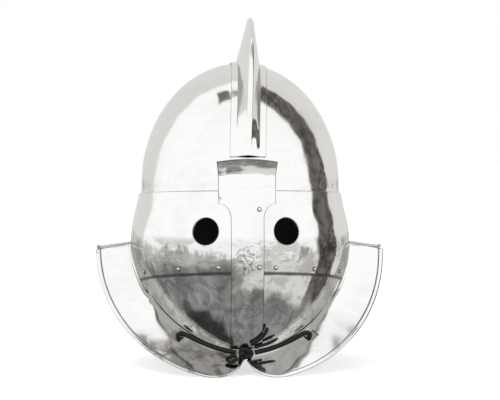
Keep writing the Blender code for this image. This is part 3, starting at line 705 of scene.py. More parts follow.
def group_edges():
    """Tarnish at a sheet's worn edges, and painted shade at seams, rim creases and rivet rims, with a painted
    shade line beside them, from the distance to them and a noise.
    """
    given = {"Width": 1.2, "Unevenness": 0.8, "Dirt": 0.5}
    tree, (width, unevenness, shade_width), out = new_group("dulled edges and painted shade", given, "Mask", "Dirt line")
    distance = Value(put(tree, "ShaderNodeAttribute", attribute_name="edge"), "Fac")
    uneven = noise(object_place(tree), 90, 3) * unevenness
    # Tarnish at worn edges, and painted shade where the distance is to a seam, a rim's foot or a rivet's rim
    tarnish_and_shade = 1.0 - distance.math("DIVIDE", width * (uneven + 0.4), clamp=True)
    # A painted shade line beside seams, rim creases, rivet rims and edges
    shade_near_edge = 1.0 - distance.math("DIVIDE", shade_width * (uneven + 0.5), clamp=True)
    feed(out, {"Mask": tarnish_and_shade, "Dirt line": shade_near_edge.math("POWER", 0.6) * distance.step(*FACE_FROM_EDGE)})
    return tree


def group_hand_marks():
    """Height of shallow hammer marks, fine polishing lines and pits, from a cell texture and noises."""
    given = {"Hammer": 1.0, "Lines": 1.0, "Pits": 1.0}
    tree, (hammer, lines, pits), out = new_group("hammer marks and scratches", given, "Height")
    place = object_place(tree)
    inputs = {"Vector": place, "Scale": 75.0, "Smoothness": 1.0}
    cells = Value(put(tree, "ShaderNodeTexVoronoi", inputs, feature="SMOOTH_F1"), "Distance")
    dents = cells * 0.5 + noise(place, 30, 1)
    scratches = noise(place.mapped((1, 1, 14), SCRATCH_TURN), 120, 6, 0.7)
    pitted = noise(place, 700, 2).step(*PIT_SIZES)
    feed(out, {"Height": dents * hammer + scratches * lines - pitted * pits})
    return tree


def new_finish(name, metallic):
    """A Principled material: (tree, shader)."""
    made = bpy.data.materials.new(name)
    made.use_nodes = True
    shader = made.node_tree.nodes["Principled BSDF"]
    shader.inputs["Metallic"].default_value = metallic
    return made.node_tree, shader


def use_group(tree, group, **values):
    """What a group puts out for its own values."""
    node = put(tree, "ShaderNodeGroup", node_tree=group)
    feed(node, values)
    return [Value(node, key) for key in range(len(node.outputs))]


def bumped(tree, height, strength, distance=0.0004):
    """A normal from a height."""
    inputs = {"Height": height, "Strength": strength, "Distance": distance}
    return Value(put(tree, "ShaderNodeBump", inputs))


def make_steel(groups, name, roughness=None, smudge_share=0.10, hammer=1.0, haze=0.0, lobe=0.0, shade_width=0.3):
    """Polished steel: bright, with faint smudges, greyed edges, painted shade at seams, rim creases and rivet
    rims, and low hammer marks.

    A haze dulls the visor round its seam, and dark curls at the dents are a painted reflection of the dented
    band. A lobe of painted dark reflection darkens the left flange below the lace.
    """
    colours = bpy.context.scene.helmet_colours
    roughness = colours.polish if roughness is None else roughness
    smudges, edges, marks = groups
    tree, shader = new_finish(name, 1.0)
    place = object_place(tree)
    node = put(tree, "ShaderNodeSeparateXYZ", {"Vector": place})
    side, rise = Value(node, "X"), Value(node, "Z")
    (cloud,) = use_group(tree, smudges, Scale=14.0, Sharpness=0.12)
    # edge: tarnish at worn edges and painted shade at seams, rim creases and rivet rims; line: the painted
    # shade line beside them
    edge, line = use_group(tree, edges, Width=1.1, Unevenness=0.9, Dirt=shade_width)
    dull_painted_shade_and_reflection = (cloud * smudge_share).most(edge * 0.5)
    if haze:
        (film,) = use_group(tree, smudges, Scale=34.0, Sharpness=0.045)
        dull_painted_shade_and_reflection = dull_painted_shade_and_reflection.most((film * 0.75 + 0.25) * rise.step(*HAZE_TOP) * rise.step(*HAZE_FOOT) * haze)
        (scuffs,) = use_group(tree, smudges, Scale=75.0, Sharpness=0.03)
        dull_painted_shade_and_reflection = dull_painted_shade_and_reflection.most(scuffs * rise.step(*SCUFFS_TOP) * (haze * 0.8))
        # Dark curls round the dents: a painted reflection of the dented band, in the painted shade line's
        # colour
        from_dents = place.vector("SUBTRACT", DENTS_PLACE, key=0).mapped((1, 0, 0.7)).vector("LENGTH")
        curl = abs(noise(place, 90, 2, 0.5, 2.6) - 0.5).step(*CURL_WIDTH)
        line = line.most(curl * from_dents.step(*CURLS_REACH) * 0.85)
    if lobe:
        # The lobe's darkening is a painted dark reflection, below the lace on the left flange
        (film,) = use_group(tree, smudges, Scale=42.0, Sharpness=0.05)
        low = (film * 0.010 + rise).step(*LOBE_REFLECTION_TOP) * side.step(*LOBE_REFLECTION_SIDE)
        dull_painted_shade_and_reflection = dull_painted_shade_and_reflection.most((film * 0.6 + 0.4) * low * lobe)
    # The mask mixes smudges, haze and tarnish with painted shade at seams and rims and the painted dark
    # reflection on the lobe
    colour = dull_painted_shade_and_reflection.blend((*colours.steel, 1), (*colours.tarnish_painted_shade_and_reflection, 1))
    (height,) = use_group(tree, marks, Hammer=hammer, Lines=0.002, Pits=0.015)
    feed(shader, {
        "Base Color": line.blend(colour, PAINTED_SHADE_COLOUR),
        "Roughness": edge * 0.25 + (cloud * 0.07 + roughness),
        "Normal": bumped(tree, height, 0.35),
    })


def make_inside(groups):
    """The inside of the sheets, near black as painted shade: rough, with paler patches."""
    black = bpy.context.scene.helmet_colours.inside
    tree, shader = new_finish("inside painted dark as shade", 0.0)
    (cloud,) = use_group(tree, groups[0], Scale=22.0, Sharpness=0.2)
    (height,) = use_group(tree, groups[2], Hammer=1.0, Lines=0.1, Pits=0.4)
    feed(shader, {
        "Base Color": cloud.blend((*black, 1), (*(2.2 * value for value in black), 1)),
        "Roughness": cloud * 0.2 + 0.7,
        "Specular IOR Level": 0.15,
        "Normal": bumped(tree, height, 0.6),
    })


def make_leather(groups):
    """Black leather: a fine grain of cells with creases, and worn high spots."""
    black = bpy.context.scene.helmet_colours.leather
    tree, shader = new_finish("black leather", 0.0)
    place = object_place(tree)
    inputs = {"Vector": place, "Scale": 1500.0}
    cells = Value(put(tree, "ShaderNodeTexVoronoi", inputs, feature="DISTANCE_TO_EDGE"), "Distance")
    height = (cells * 3.0).math("MINIMUM", 1.0) * 0.4 + noise(place, 260, 4, 0.6, 0.5)
    (worn,) = use_group(tree, groups[0], Scale=120.0, Sharpness=0.15)
    feed(shader, {
        "Base Color": worn.blend((*black, 1), (*(2.2 * value + 0.002 for value in black), 1)),
        "Roughness": worn * 0.22 + 0.42,
        "Specular IOR Level": 0.3,
        "Normal": bumped(tree, height, 0.5, 0.0003),
    })


def finishes(*names):
    """Materials by name, made once with their shared groups."""
    if "polished steel" not in bpy.data.materials:
        groups = (group_smudges(), group_edges(), group_hand_marks())
        make_steel(groups, "polished steel")
        # Shade widths set how far the painted shade line reaches from seams, rims and edges
        make_steel(groups, "visor steel", haze=0.55, shade_width=0.9)
        # The flange steel carries the painted dark reflection on the left lobe
        make_steel(groups, "flange steel", lobe=0.9, shade_width=0.75)
        make_steel(groups, "rivet steel", 0.12, 0.25, 0.3, shade_width=0.9)
        make_inside(groups)
        make_leather(groups)
    return [bpy.data.materials[name] for name in names]


# Pieces


class HELMET_OT_bowl(bpy.types.Operator):
    """Make the bowl: rings of the form down to the equator and a skirt down to its rim."""

    bl_idname = "helmet.bowl"
    bl_label = "Bowl"

    def execute(self, context):
        phi = np.radians(np.linspace(180, -180, 241))
        dome = np.linspace(0, math.pi / 2, 61)[:, None]
        upper = form_base(phi, EQUATOR_HEIGHT + BOWL_RISE * np.cos(dome) + 0 * phi)
        fall = np.linspace(0, 1, 45)[1:, None]
        skirt = form_base(phi, EQUATOR_HEIGHT + fall * (bowl_rim(phi) - EQUATOR_HEIGHT))
        points = np.concatenate([upper, skirt])
        grid_piece(
            "bowl_sheet", planished(points), "bowl",
            finishes("polished steel", "inside painted dark as shade"),
            borders="bottom", wall=context.scene.helmet_sizes.sheet,
        )
        return {"FINISHED"}


def eye_plate_points():
    """The right eye plate: lines from the eye hole's circle out to the plate's four sides.

    The second array is the height over the seam, which the painted shade line at the seam reads.
    """
    side = np.linspace(0, 1, 61)[:-1]
    none, all_ = np.zeros_like(side), np.ones_like(side)
    across = np.concatenate([side, all_, 1 - side, none, [0]])
    down = np.concatenate([none, side, all_, 1 - side, [0]])
    inner = HALF_JOINT / EAR_HALF_WIDTH

    def top_at(share):
        return BROW_HEIGHT - BROW_DROP * (1 - np.cos(share * math.pi / 2))

    def place(across, down):
        z = top_at(across) + down * (seam_height(across) - top_at(across))
        return inner + across * (jaw_angle(z) - inner), z

    centre_phi = math.asin(EYE_SPACING / 2 / float(form_width(np.array(EYE_HEIGHT), False)))
    step = 1e-4

    def pace(phi_step, z_step):
        moved = form_base(centre_phi + phi_step, EYE_HEIGHT + z_step)
        return np.linalg.norm(moved - form_base(centre_phi, EYE_HEIGHT)) / step

    per_phi, per_z = pace(step, 0), pace(0, step)
    edge_phi, edge_z = place(across, down)
    turn = np.arctan2((edge_z - EYE_HEIGHT) * per_z, (edge_phi - centre_phi) * per_phi)
    hole_phi = centre_phi + EYE_RADIUS * np.cos(turn) / per_phi
    hole_z = EYE_HEIGHT + EYE_RADIUS * np.sin(turn) / per_z
    hole_across = (hole_phi - inner) / (VISOR_END_ANGLE - inner)
    hole_top = top_at(hole_across)
    hole_down = (hole_top - hole_z) / (hole_top - seam_height(hole_across))
    out = np.linspace(0, 1, 49)[:, None]
    share = hole_across + out * (across - hole_across)
    phi, z = place(share, hole_down + out * (down - hole_down))
    # The height over the seam places a painted shadow line along the seam
    return form(phi, z, PLATE), (z - seam_height(share)) * 1000 * SEAM_SHADE_SCALE


def cheek_plate_points():
    """The right cheek plate: straight lines on the form from the seam's lap to the jaw line.

    The second array is the distance from the seam, which the painted shade line at the seam reads.
    """
    across = np.linspace(1, 0, 91)
    first = math.asin(below_ear(seam_height(1.0) - CLEARANCE, CHIN_HEIGHT) ** (JAW_POWER / 2))
    jaw_phi, jaw_z = jaw_line(first + (1 - across) * (math.pi / 2 - first))
    top_z = seam_height(across) + SEAM_LAP
    top_phi = HALF_JOINT / EAR_HALF_WIDTH + across * jaw_angle(top_z)
    share = np.linspace(0, 1, 121)[:, None]
    z = top_z + share * (jaw_z - top_z)
    points = form(top_phi + share * (jaw_phi - top_phi), z, 0.0)
    return points, np.abs(z - seam_height(across)) * 1000 * SEAM_SHADE_SCALE


class HELMET_OT_visor(bpy.types.Operator):
    """Make the two eye plates with their round holes, and the two cheek plates."""

    bl_idname = "helmet.visor"
    bl_label = "Visor plates"

    def execute(self, context):
        steel = finishes("visor steel", "inside painted dark as shade")
        wall = context.scene.helmet_sizes.sheet
        for label, side in (("left", -1), ("right", 1)):
            for kind, (points, near), borders in (
                ("eye_plate_", eye_plate_points(), "top bottom"),
                ("cheek_plate_", cheek_plate_points(), "left right bottom"),
            ):
                grid_piece(
                    kind + label + "_sheet", planished(points * (side, 1, 1)) * (side, 1, 1),
                    kind + label, steel, side, borders, wall=wall, near=near,
                )
        return {"FINISHED"}


def band_points():
    """The nose band: a strip on the form whose half-width grows by a quarter ellipse to its head.

    Bent sines under a bell curve dent it beside the nose.
    """
    z = stretches(
        (HEAD_TOP_HEIGHT, HEAD_SIDE_HEIGHT, 44),
        (HEAD_SIDE_HEIGHT, BAND_NECK_HEIGHT, 24),
        (BAND_NECK_HEIGHT, SEAM_HEIGHT - 2 * PLATE, 40),
        (SEAM_HEIGHT - 2 * PLATE, BAND_END_HEIGHT, 64),
    )[:, None]
    across = np.linspace(1, -1, 41)[None]
    up = np.clip((z - BAND_NECK_HEIGHT) / (HEAD_SIDE_HEIGHT - BAND_NECK_HEIGHT), 0, 1)
    half = BAND_HALF_WIDTH + (HEAD_HALF_WIDTH - BAND_HALF_WIDTH) * (1 - np.sqrt(1 - up * up))
    step = ramp(z, SEAM_HEIGHT - 25 * PLATE, SEAM_HEIGHT - 2 * PLATE)
    top = np.clip((z - HEAD_TOP_HEIGHT + HEAD_FLARE_LENGTH) / HEAD_FLARE_LENGTH, 0, 1)
    edge = np.clip(-across - 0.7, 0, 1) * ramp(z, HEAD_SIDE_HEIGHT, BROW_HEIGHT)
    offset = PLATE + PLATE * step + HEAD_FLARE * top**1.6 + HEAD_FLARE * edge
    x = BAND_OFFSET + across * half
    near_dents = np.exp(-(((z - DENTS_HEIGHT) / DENTS_REACH) ** 2) - ((x - DENTS_SIDE) / DENTS_REACH) ** 2)
    turn = 2 * math.pi / DENTS_WAVE
    bent = z + 0.25 * DENTS_WAVE * np.sin(0.7 * turn * x + 0.9)
    waves = np.sin(turn * (x + 0.3 * np.sin(turn * 0.6 * z) * DENTS_WAVE) + 0.4) * np.sin(0.8 * turn * bent)
    waves = waves + 0.5 * np.sin(1.9 * turn * (bent - 0.7 * x))
    offset = offset + DENTS_DEPTH * near_dents * waves
    arched = z + HEAD_ARCH * (1 - across**2) * ramp(z, HEAD_SIDE_HEIGHT, HEAD_TOP_HEIGHT)
    return form_at_x(x, arched, offset)


class HELMET_OT_nose_band(bpy.types.Operator):
    """Make the nose band with its flared head plate."""

    bl_idname = "helmet.nose_band"
    bl_label = "Nose band"

    def execute(self, context):
        grid_piece(
            "nose_band_sheet", planished(band_points()), "nose_band",
            finishes("visor steel"), borders=ALL_ROUND,
            wall=context.scene.helmet_sizes.sheet,
        )
        return {"FINISHED"}


def flange_edge(angle):
    """Outer edge of the front flange: a superellipse on a front view, leaning forward at the chin."""
    point, _, _ = jaw_frame(angle)
    across, down = np.cos(angle) ** (2 / FLANGE_POWER), np.sin(angle) ** (2 / FLANGE_POWER)
    z = FLANGE_TOP_HEIGHT - (FLANGE_TOP_HEIGHT + LOBE_DIP) * down
    forward = FLANGE_FORWARD * np.sin(angle) ** 1.5
    return np.stack([FLANGE_HALF_WIDTH * across, point[:, 1] - forward, z], axis=-1)


def jaw_axes(angle):
    """Corner of the flange at an angle of the jaw, and unit directions along, out and up."""
    point, normal, up = jaw_frame(angle)
    out = unit(flange_edge(angle) - point)
    across = unit(np.cross(out, up))
    return point + normal * PLATE, across, out, np.cross(across, out)


def raised_rim(inner, edge, face_up, shares):
    """Rows across a flange, then a raised rim: a half wave over its width, cut flat on top."""
    span = edge - inner
    length = np.linalg.norm(span, axis=-1, keepdims=True)
    rim = np.minimum(RIM_WIDTH / np.maximum(length, 1e-6), 0.45)
    rows = [inner + span * (1 - rim) * share for share in shares]
    lift = face_up * RIM_HEIGHT * np.minimum(length / (3 * RIM_WIDTH), 1)
    for t in np.linspace(0, 1, 13):
        wave = min(1, 1.25 * math.sin(math.pi * t) ** 0.7)
        rows.append(inner + span * (1 - rim * (1 - t)) + lift * wave)
    return rows


def flange_points():
    """The right flange's grid, which of its faces stay beside the slot, and millimetres to its rim.

    Columns follow the jaw's angle. Rows go down the leg, over the face and over the rim. The
    lobe's outer edge closes by a quarter circle.
    """
    wide = np.linspace(SLOT_ANGLE - 0.3, SLOT_ANGLE + 0.3, 241)
    corner, _, out, _ = jaw_axes(wide)
    middle, along_jaw, _, _ = (part[0] for part in jaw_axes(np.array([SLOT_ANGLE])))
    reach = (corner + out * SLOT_FROM_JAW - middle) @ along_jaw
    order = np.argsort(reach)
    ends = np.interp((-SLOT_LENGTH / 2, SLOT_LENGTH / 2), reach[order], wide[order])
    first, last = min(ends), max(ends)
    lobe = LOBE_START + (LOBE_END - LOBE_START) * np.sin(np.linspace(0, math.pi / 2, 33)[1:])
    angle = np.concatenate([
        stretches((FLANGE_START, first, 100), (first, last, 16), (last, LOBE_START, 34)), lobe
    ])
    point, normal, up = jaw_frame(angle)
    over_seam = ramp(point[:, 2:] + FLANGE_LEG, seam_height(1.0) - 5 * PLATE, seam_height(1.0) - PLATE)
    corner = point + normal * (PLATE + PLATE * over_seam)
    turn = np.clip((angle - LOBE_START) / (LOBE_END - LOBE_START), 0, 0.99)
    edge = corner + (flange_edge(angle) - corner) * np.sqrt(1 - turn * turn)[:, None]
    at_slot = np.argmin(np.abs(angle - SLOT_ANGLE))
    flat = np.linalg.norm(edge - corner, axis=-1)[at_slot] - RIM_WIDTH
    near, far = (SLOT_FROM_JAW - SLOT_WIDTH / 2) / flat, (SLOT_FROM_JAW + SLOT_WIDTH / 2) / flat
    shares = stretches((0, near, 2), (near, far, 8), (far, 1, 14))[:-1]
    leg = [corner + up * FLANGE_LEG * share for share in np.linspace(1, 0, 6)[:-1]]
    points = np.stack(leg + raised_rim(corner, edge, up, shares))
    keep = np.ones((points.shape[0] - 1, points.shape[1] - 1), bool)
    middles = (angle[1:] + angle[:-1]) / 2
    columns = (middles > first) & (middles < last)
    keep[len(leg) + 2 : len(leg) + 10, columns] = False
    foot = len(leg) + len(shares)
    steps = np.linalg.norm(np.diff(points, axis=0), axis=-1) * 1000
    walked = np.concatenate([np.zeros((1, points.shape[1])), np.cumsum(steps, axis=0)])
    # Millimetres to the rim's foot: tarnish and the painted shade line darken the crease there
    return points, keep, np.abs(walked - walked[foot]) + RIM_LINE


class HELMET_OT_flanges(bpy.types.Operator):
    """Make the two front flanges, each with a leg, a slot and a raised rim."""

    bl_idname = "helmet.flanges"
    bl_label = "Front flanges"

    def execute(self, context):
        points, keep, near = flange_points()
        for label, side in (("left", -1), ("right", 1)):
            grid_piece(
                "front_flange_" + label + "_sheet", planished(points * (side, 1, 1)) * (side, 1, 1),
                "front_flange_" + label, finishes("flange steel"), side,
                "bottom left right", keep, context.scene.helmet_sizes.sheet, near,
            )
        return {"FINISHED"}


class HELMET_OT_neck_guard(bpy.types.Operator):
    """Make the neck guard: a leg on the bowl and a brim that falls by a squared sine to the nape."""

    bl_idname = "helmet.neck_guard"
    bl_label = "Neck guard"

    def execute(self, context):
        phi = np.linspace(2 * math.pi - GUARD_START, GUARD_START, 201)
        turn = math.pi - np.abs(phi - math.pi)
        rim = bowl_rim(turn)
        corner = form(phi, rim, PLATE)
        nape = np.sin(np.clip((turn - math.pi / 2) * NAPE_QUICKNESS, 0, math.pi / 2)) ** 2
        reach = FLANGE_HALF_WIDTH - EAR_HALF_WIDTH - PLATE
        reach = reach + (GUARD_NAPE_REACH - reach) * nape
        out = unit((corner - form(phi, rim, 0.0)) * (1, 1, 0))
        fall = np.sin(np.clip((turn - math.pi / 2) * GUARD_QUICKNESS, 0, math.pi / 2)) ** 2
        edge = corner + out * reach[:, None]
        edge[:, 2] = (EAR_HEIGHT - GUARD_EAR_DROP) * (1 - fall)
        face_up = unit(np.cross(edge - corner, np.gradient(edge, axis=0)))
        face_up *= np.sign(face_up[:, 2:])
        leg = [form(phi, rim + GUARD_LEG * share, PLATE) for share in np.linspace(1, 0, 8)[:-1]]
        points = np.stack(leg + raised_rim(corner, edge, face_up, np.linspace(0, 1, 25)[:-1]))
        grid_piece(
            "neck_guard_sheet", planished(points), "neck_guard",
            finishes("polished steel"), borders=ALL_ROUND,
            wall=context.scene.helmet_sizes.sheet,
        )
        return {"FINISHED"}


def bowl_point(x, angle, height):
    """Point over the bowl's ellipsoid at a side distance and an angle over the top, moved out."""
    reach = np.where(np.cos(angle) > 0, BOWL_FRONT, BOWL_BACK)
    share = np.sqrt(1 - (x / BOWL_HALF_WIDTH) ** 2)
    y, z = -reach * np.cos(angle) * share, BOWL_RISE * np.sin(angle) * share
    point = np.stack(np.broadcast_arrays(x, y, EQUATOR_HEIGHT + z), axis=-1)
    slopes = (x / BOWL_HALF_WIDTH**2, y / reach**2, z / BOWL_RISE**2)
    normal = unit(np.stack(np.broadcast_arrays(*slopes), axis=-1))
    return point + normal * np.asarray(height)[..., None]


def crest_points():
    """The crest: feet on the bowl, sides that close by a power law, and an elliptical ridge."""
    angle = np.linspace(CREST_START, CREST_END, 181)[:, None]
    to_crown = np.sin(np.clip(angle, 0, math.pi / 2)) ** 2
    middle = CREST_SIDE_FRONT + (CREST_SIDE_CROWN - CREST_SIDE_FRONT) * to_crown
    front = (angle - CREST_START) / (CREST_APEX - CREST_START)
    back = (CREST_END - angle) / (CREST_END - CREST_APEX)
    share = np.clip(np.where(angle < CREST_APEX, front, back), 0, 1)
    arc = np.sin(share * math.pi / 2) ** CREST_ARC_POWER
    height = CREST_END_HEIGHT + (CREST_HEIGHT - CREST_END_HEIGHT) * arc
    lean = CREST_LEAN * (height / CREST_HEIGHT) ** 2
    lift = CREST_SHEET + CLEARANCE
    wide, ridge = CREST_BASE_HALF_WIDTH, CREST_RIDGE_HALF_WIDTH

    def half_at(up):
        return ridge + (wide - ridge) * (1 - up) ** CREST_SIDE_POWER

    def side_point(side, up, half):
        point = bowl_point(middle, angle, lift + height * up)
        point[..., 0] += side * half + lean * up
        return point

    sides = []
    for side in (-1, 1):
        feet = [
            bowl_point(middle + side * (wide + CREST_FOOT * rest), angle, lift + 0 * angle)
            for rest in np.linspace(1, 0, 6)
        ]
        low = side_point(side, CREST_LOW, half_at(CREST_LOW))
        rising = [feet[-1] + (low - feet[-1]) * part for part in np.linspace(0, 1, 7)[1:-1]]
        upper = [side_point(side, up, half_at(up)) for up in np.linspace(CREST_LOW, CREST_CAP, 13)]
        over_cap = 1 - CREST_CAP
        cap = [
            side_point(side, CREST_CAP + over_cap * math.sin(turn), half_at(CREST_CAP) * math.cos(turn))
            for turn in np.linspace(0, math.pi / 2, 8)[1:]
        ]
        sides.append(feet + rising + upper + cap)
    return np.concatenate(sides[0] + sides[1][::-1][1:], axis=1)


class HELMET_OT_crest(bpy.types.Operator):
    """Make the hollow fin crest with a foot along each side."""

    bl_idname = "helmet.crest"
    bl_label = "Crest"

    def execute(self, context):
        grid_piece(
            "crest_sheet", planished(crest_points()), "crest",
            finishes("polished steel"), borders=ALL_ROUND,
            wall=context.scene.helmet_sizes.crest_sheet,
        )
        return {"FINISHED"}


def rivet_piece(name, x, z, top, bottom, context):
    """A rivet along the form's normal: a domed head, a shank and a clinched end, turned."""
    radius = context.scene.helmet_sizes.rivet_radius
    start = form_at_x(x, z, top + CLEARANCE / 2)
    normal = unit(start - form_at_x(x, z, bottom))
    grip = top - bottom + 2 * CLEARANCE
    turns = np.linspace(0, math.pi / 2, 11)
    dome = [(radius * math.sin(t), RIVET_DOME * math.cos(t) ** 0.85) for t in turns]
    under = [(radius * 0.94, -0.00012), (RIVET_SHANK, -0.0001), (RIVET_SHANK, -grip)]
    clinch = [(radius * 0.8, -grip), (radius * 0.8, -grip - RIVET_CLINCH), (0, -grip - RIVET_CLINCH)]
    profile = dome + under + clinch
    points = revolved(profile, 32, along(start, normal))
    # Millimetres to the head's rim: tarnish and the painted shade line darken it, a painted shadow of the gap
    # under the head
    near = (radius - np.array(profile)[:, :1]) * 1000 + np.zeros(points.shape[:2])
    grid_piece(name + "_head", points, name, finishes("rivet steel"), near=near)


class HELMET_OT_rivets(bpy.types.Operator):
    """Make three rivets along each seam and two through the nose band."""

    bl_idname = "helmet.rivets"
    bl_label = "Rivets"

    def execute(self, context):
        end = jaw_angle(SEAM_HEIGHT - SEAM_DROP / 2)
        for label, side, places in (("left", -1, RIVETS_LEFT), ("right", 1, RIVETS_RIGHT)):
            for count, share in enumerate(places, 1):
                z = float(seam_height(np.arcsin(share) / end)) + RIVET_INSET
                x = side * share * EAR_HALF_WIDTH
                rivet_piece(f"rivet_{label}_{count}", x, z, PLATE, -SHEET, context)
        high, low = BAND_RIVET_HEIGHTS
        rivet_piece("rivet_band_1", BAND_RIVET_SIDE, high, 2 * PLATE, PLATE - SHEET, context)
        rivet_piece("rivet_band_2", BAND_RIVET_SIDE, low, 2 * PLATE, -SHEET, context)
        return {"FINISHED"}


class HELMET_OT_hinges(bpy.types.Operator):
    """Make a hinge at each temple: a leaf on the bowl and a barrel with three knuckles."""

    bl_idname = "helmet.hinges"
    bl_label = "Hinges"

    def execute(self, context):
        start = VISOR_END_ANGLE + (HINGE_BARREL + HINGE_GAP) / BOWL_FRONT
        z = HINGE_HEIGHT + HINGE_LENGTH * np.linspace(0.5, -0.5, 31)[:, None]
        phi = np.linspace(start + HINGE_LEAF / BOWL_FRONT, start, 17)[None]
        ends = form(start, z[[0, -1], 0], HINGE_BARREL + HINGE_GAP)
        length = float(np.linalg.norm(ends[0] - ends[1]))
        turns = np.linspace(0, 1, 73)
        knuckle = 1 - 0.13 * (np.abs((turns * 3 + 0.5) % 1 - 0.5) < 0.04)
        inner = [(HINGE_BARREL * k, length * (0.5 - t)) for k, t in zip(knuckle, turns)]
        profile = [(0, length / 2), *inner, (0, -length / 2)]
        for label, side in (("left", -1), ("right", 1)):
            grid_piece(
                "hinge_leaf_" + label, form(phi + 0 * z, z, PLATE), "hinge_" + label,
                finishes("polished steel"), side,
                ALL_ROUND, wall=context.scene.helmet_sizes.sheet,
            )
            place = along(ends.mean(axis=0), ends[0] - ends[1], (0, 1, 0))
            grid_piece(
                "hinge_barrel_" + label, revolved(profile, 24, place), "hinge_" + label,
                finishes("rivet steel"), side,
            )
        return {"FINISHED"}


class HELMET_OT_lace(bpy.types.Operator):
    """Make the leather lace: its loop through both slots, the knot, the bow and two free ends."""

    bl_idname = "helmet.lace"
    bl_label = "Lace"

    def execute(self, context):
        sizes = context.scene.helmet_sizes
        finishes("black leather")
        outside = PLATE + CLEARANCE + sizes.lace_radius
        out, up = np.array(LACE_TURN).T[..., None]
        corner, _, outwards, upwards = jaw_axes(np.array([LACE_ANGLE]))
        through = corner + outwards * (SLOT_FROM_JAW + out) + upwards * up
        x = np.linspace(KNOT_SIZE[0] + CLEARANCE, through[0, 0] * 0.86, 4)
        fall = np.linspace(0, 1, 4) ** 1.3
        front = form_at_x(x, KNOT_HEIGHT + (through[0, 2] + sizes.lace_radius - KNOT_HEIGHT) * fall, outside)
        point, normal, plate_up = jaw_frame(np.radians((60, 68, 76, 84)))
        back = point - normal * (SHEET + 3 * CLEARANCE + sizes.lace_radius) + plate_up * FLANGE_LEG
        half = np.concatenate([front, through, back])
        route = np.concatenate([half, (half * (-1, 1, 1))[::-1]])
        tied = lace_piece("lace_loop", smooth_route(route, ROUTE_STEP), sizes.lace_radius, "chin_lace")
        tied.visible_glossy = False

        knot_at = form_at_x(0.0, KNOT_HEIGHT, PLATE + CLEARANCE + KNOT_SIZE[1])
        turn = np.linspace(0, 2 * math.pi, 160, endpoint=False)
        reach = np.array(KNOT_SIZE) - KNOT_STRAND
        # A trefoil: twice round its axis, with three waves over the ring
        ring = 2 + np.cos(3 * turn)
        wound = np.stack([ring * np.cos(2 * turn) / 3, np.sin(3 * turn), ring * np.sin(2 * turn) / 3], axis=1)
        lace_piece("knot_strand", knot_at + wound * reach, KNOT_STRAND, "lace_knot", closed=True)
        loop = knot_at + np.array(BOW) * (1, -1, 1)
        lace_piece("bow_loop", smooth_route(loop, ROUTE_STEP), sizes.end_radius, "lace_bow")
        for name, table, radius, tip in (
            ("lace_end_1", END_ONE, sizes.end_radius, 0.0022),
            ("lace_end_2", END_TWO, sizes.tip_radius, 0.0070),
        ):
            row = np.array(table)
            route = form_at_x(row[:, 0], KNOT_HEIGHT + row[:, 1], PLATE + CLEARANCE + radius)
            lace_piece(name + "_tip", smooth_route(route, ROUTE_STEP / 2), radius, name, tips=(0, tip))
        return {"FINISHED"}


# Studio


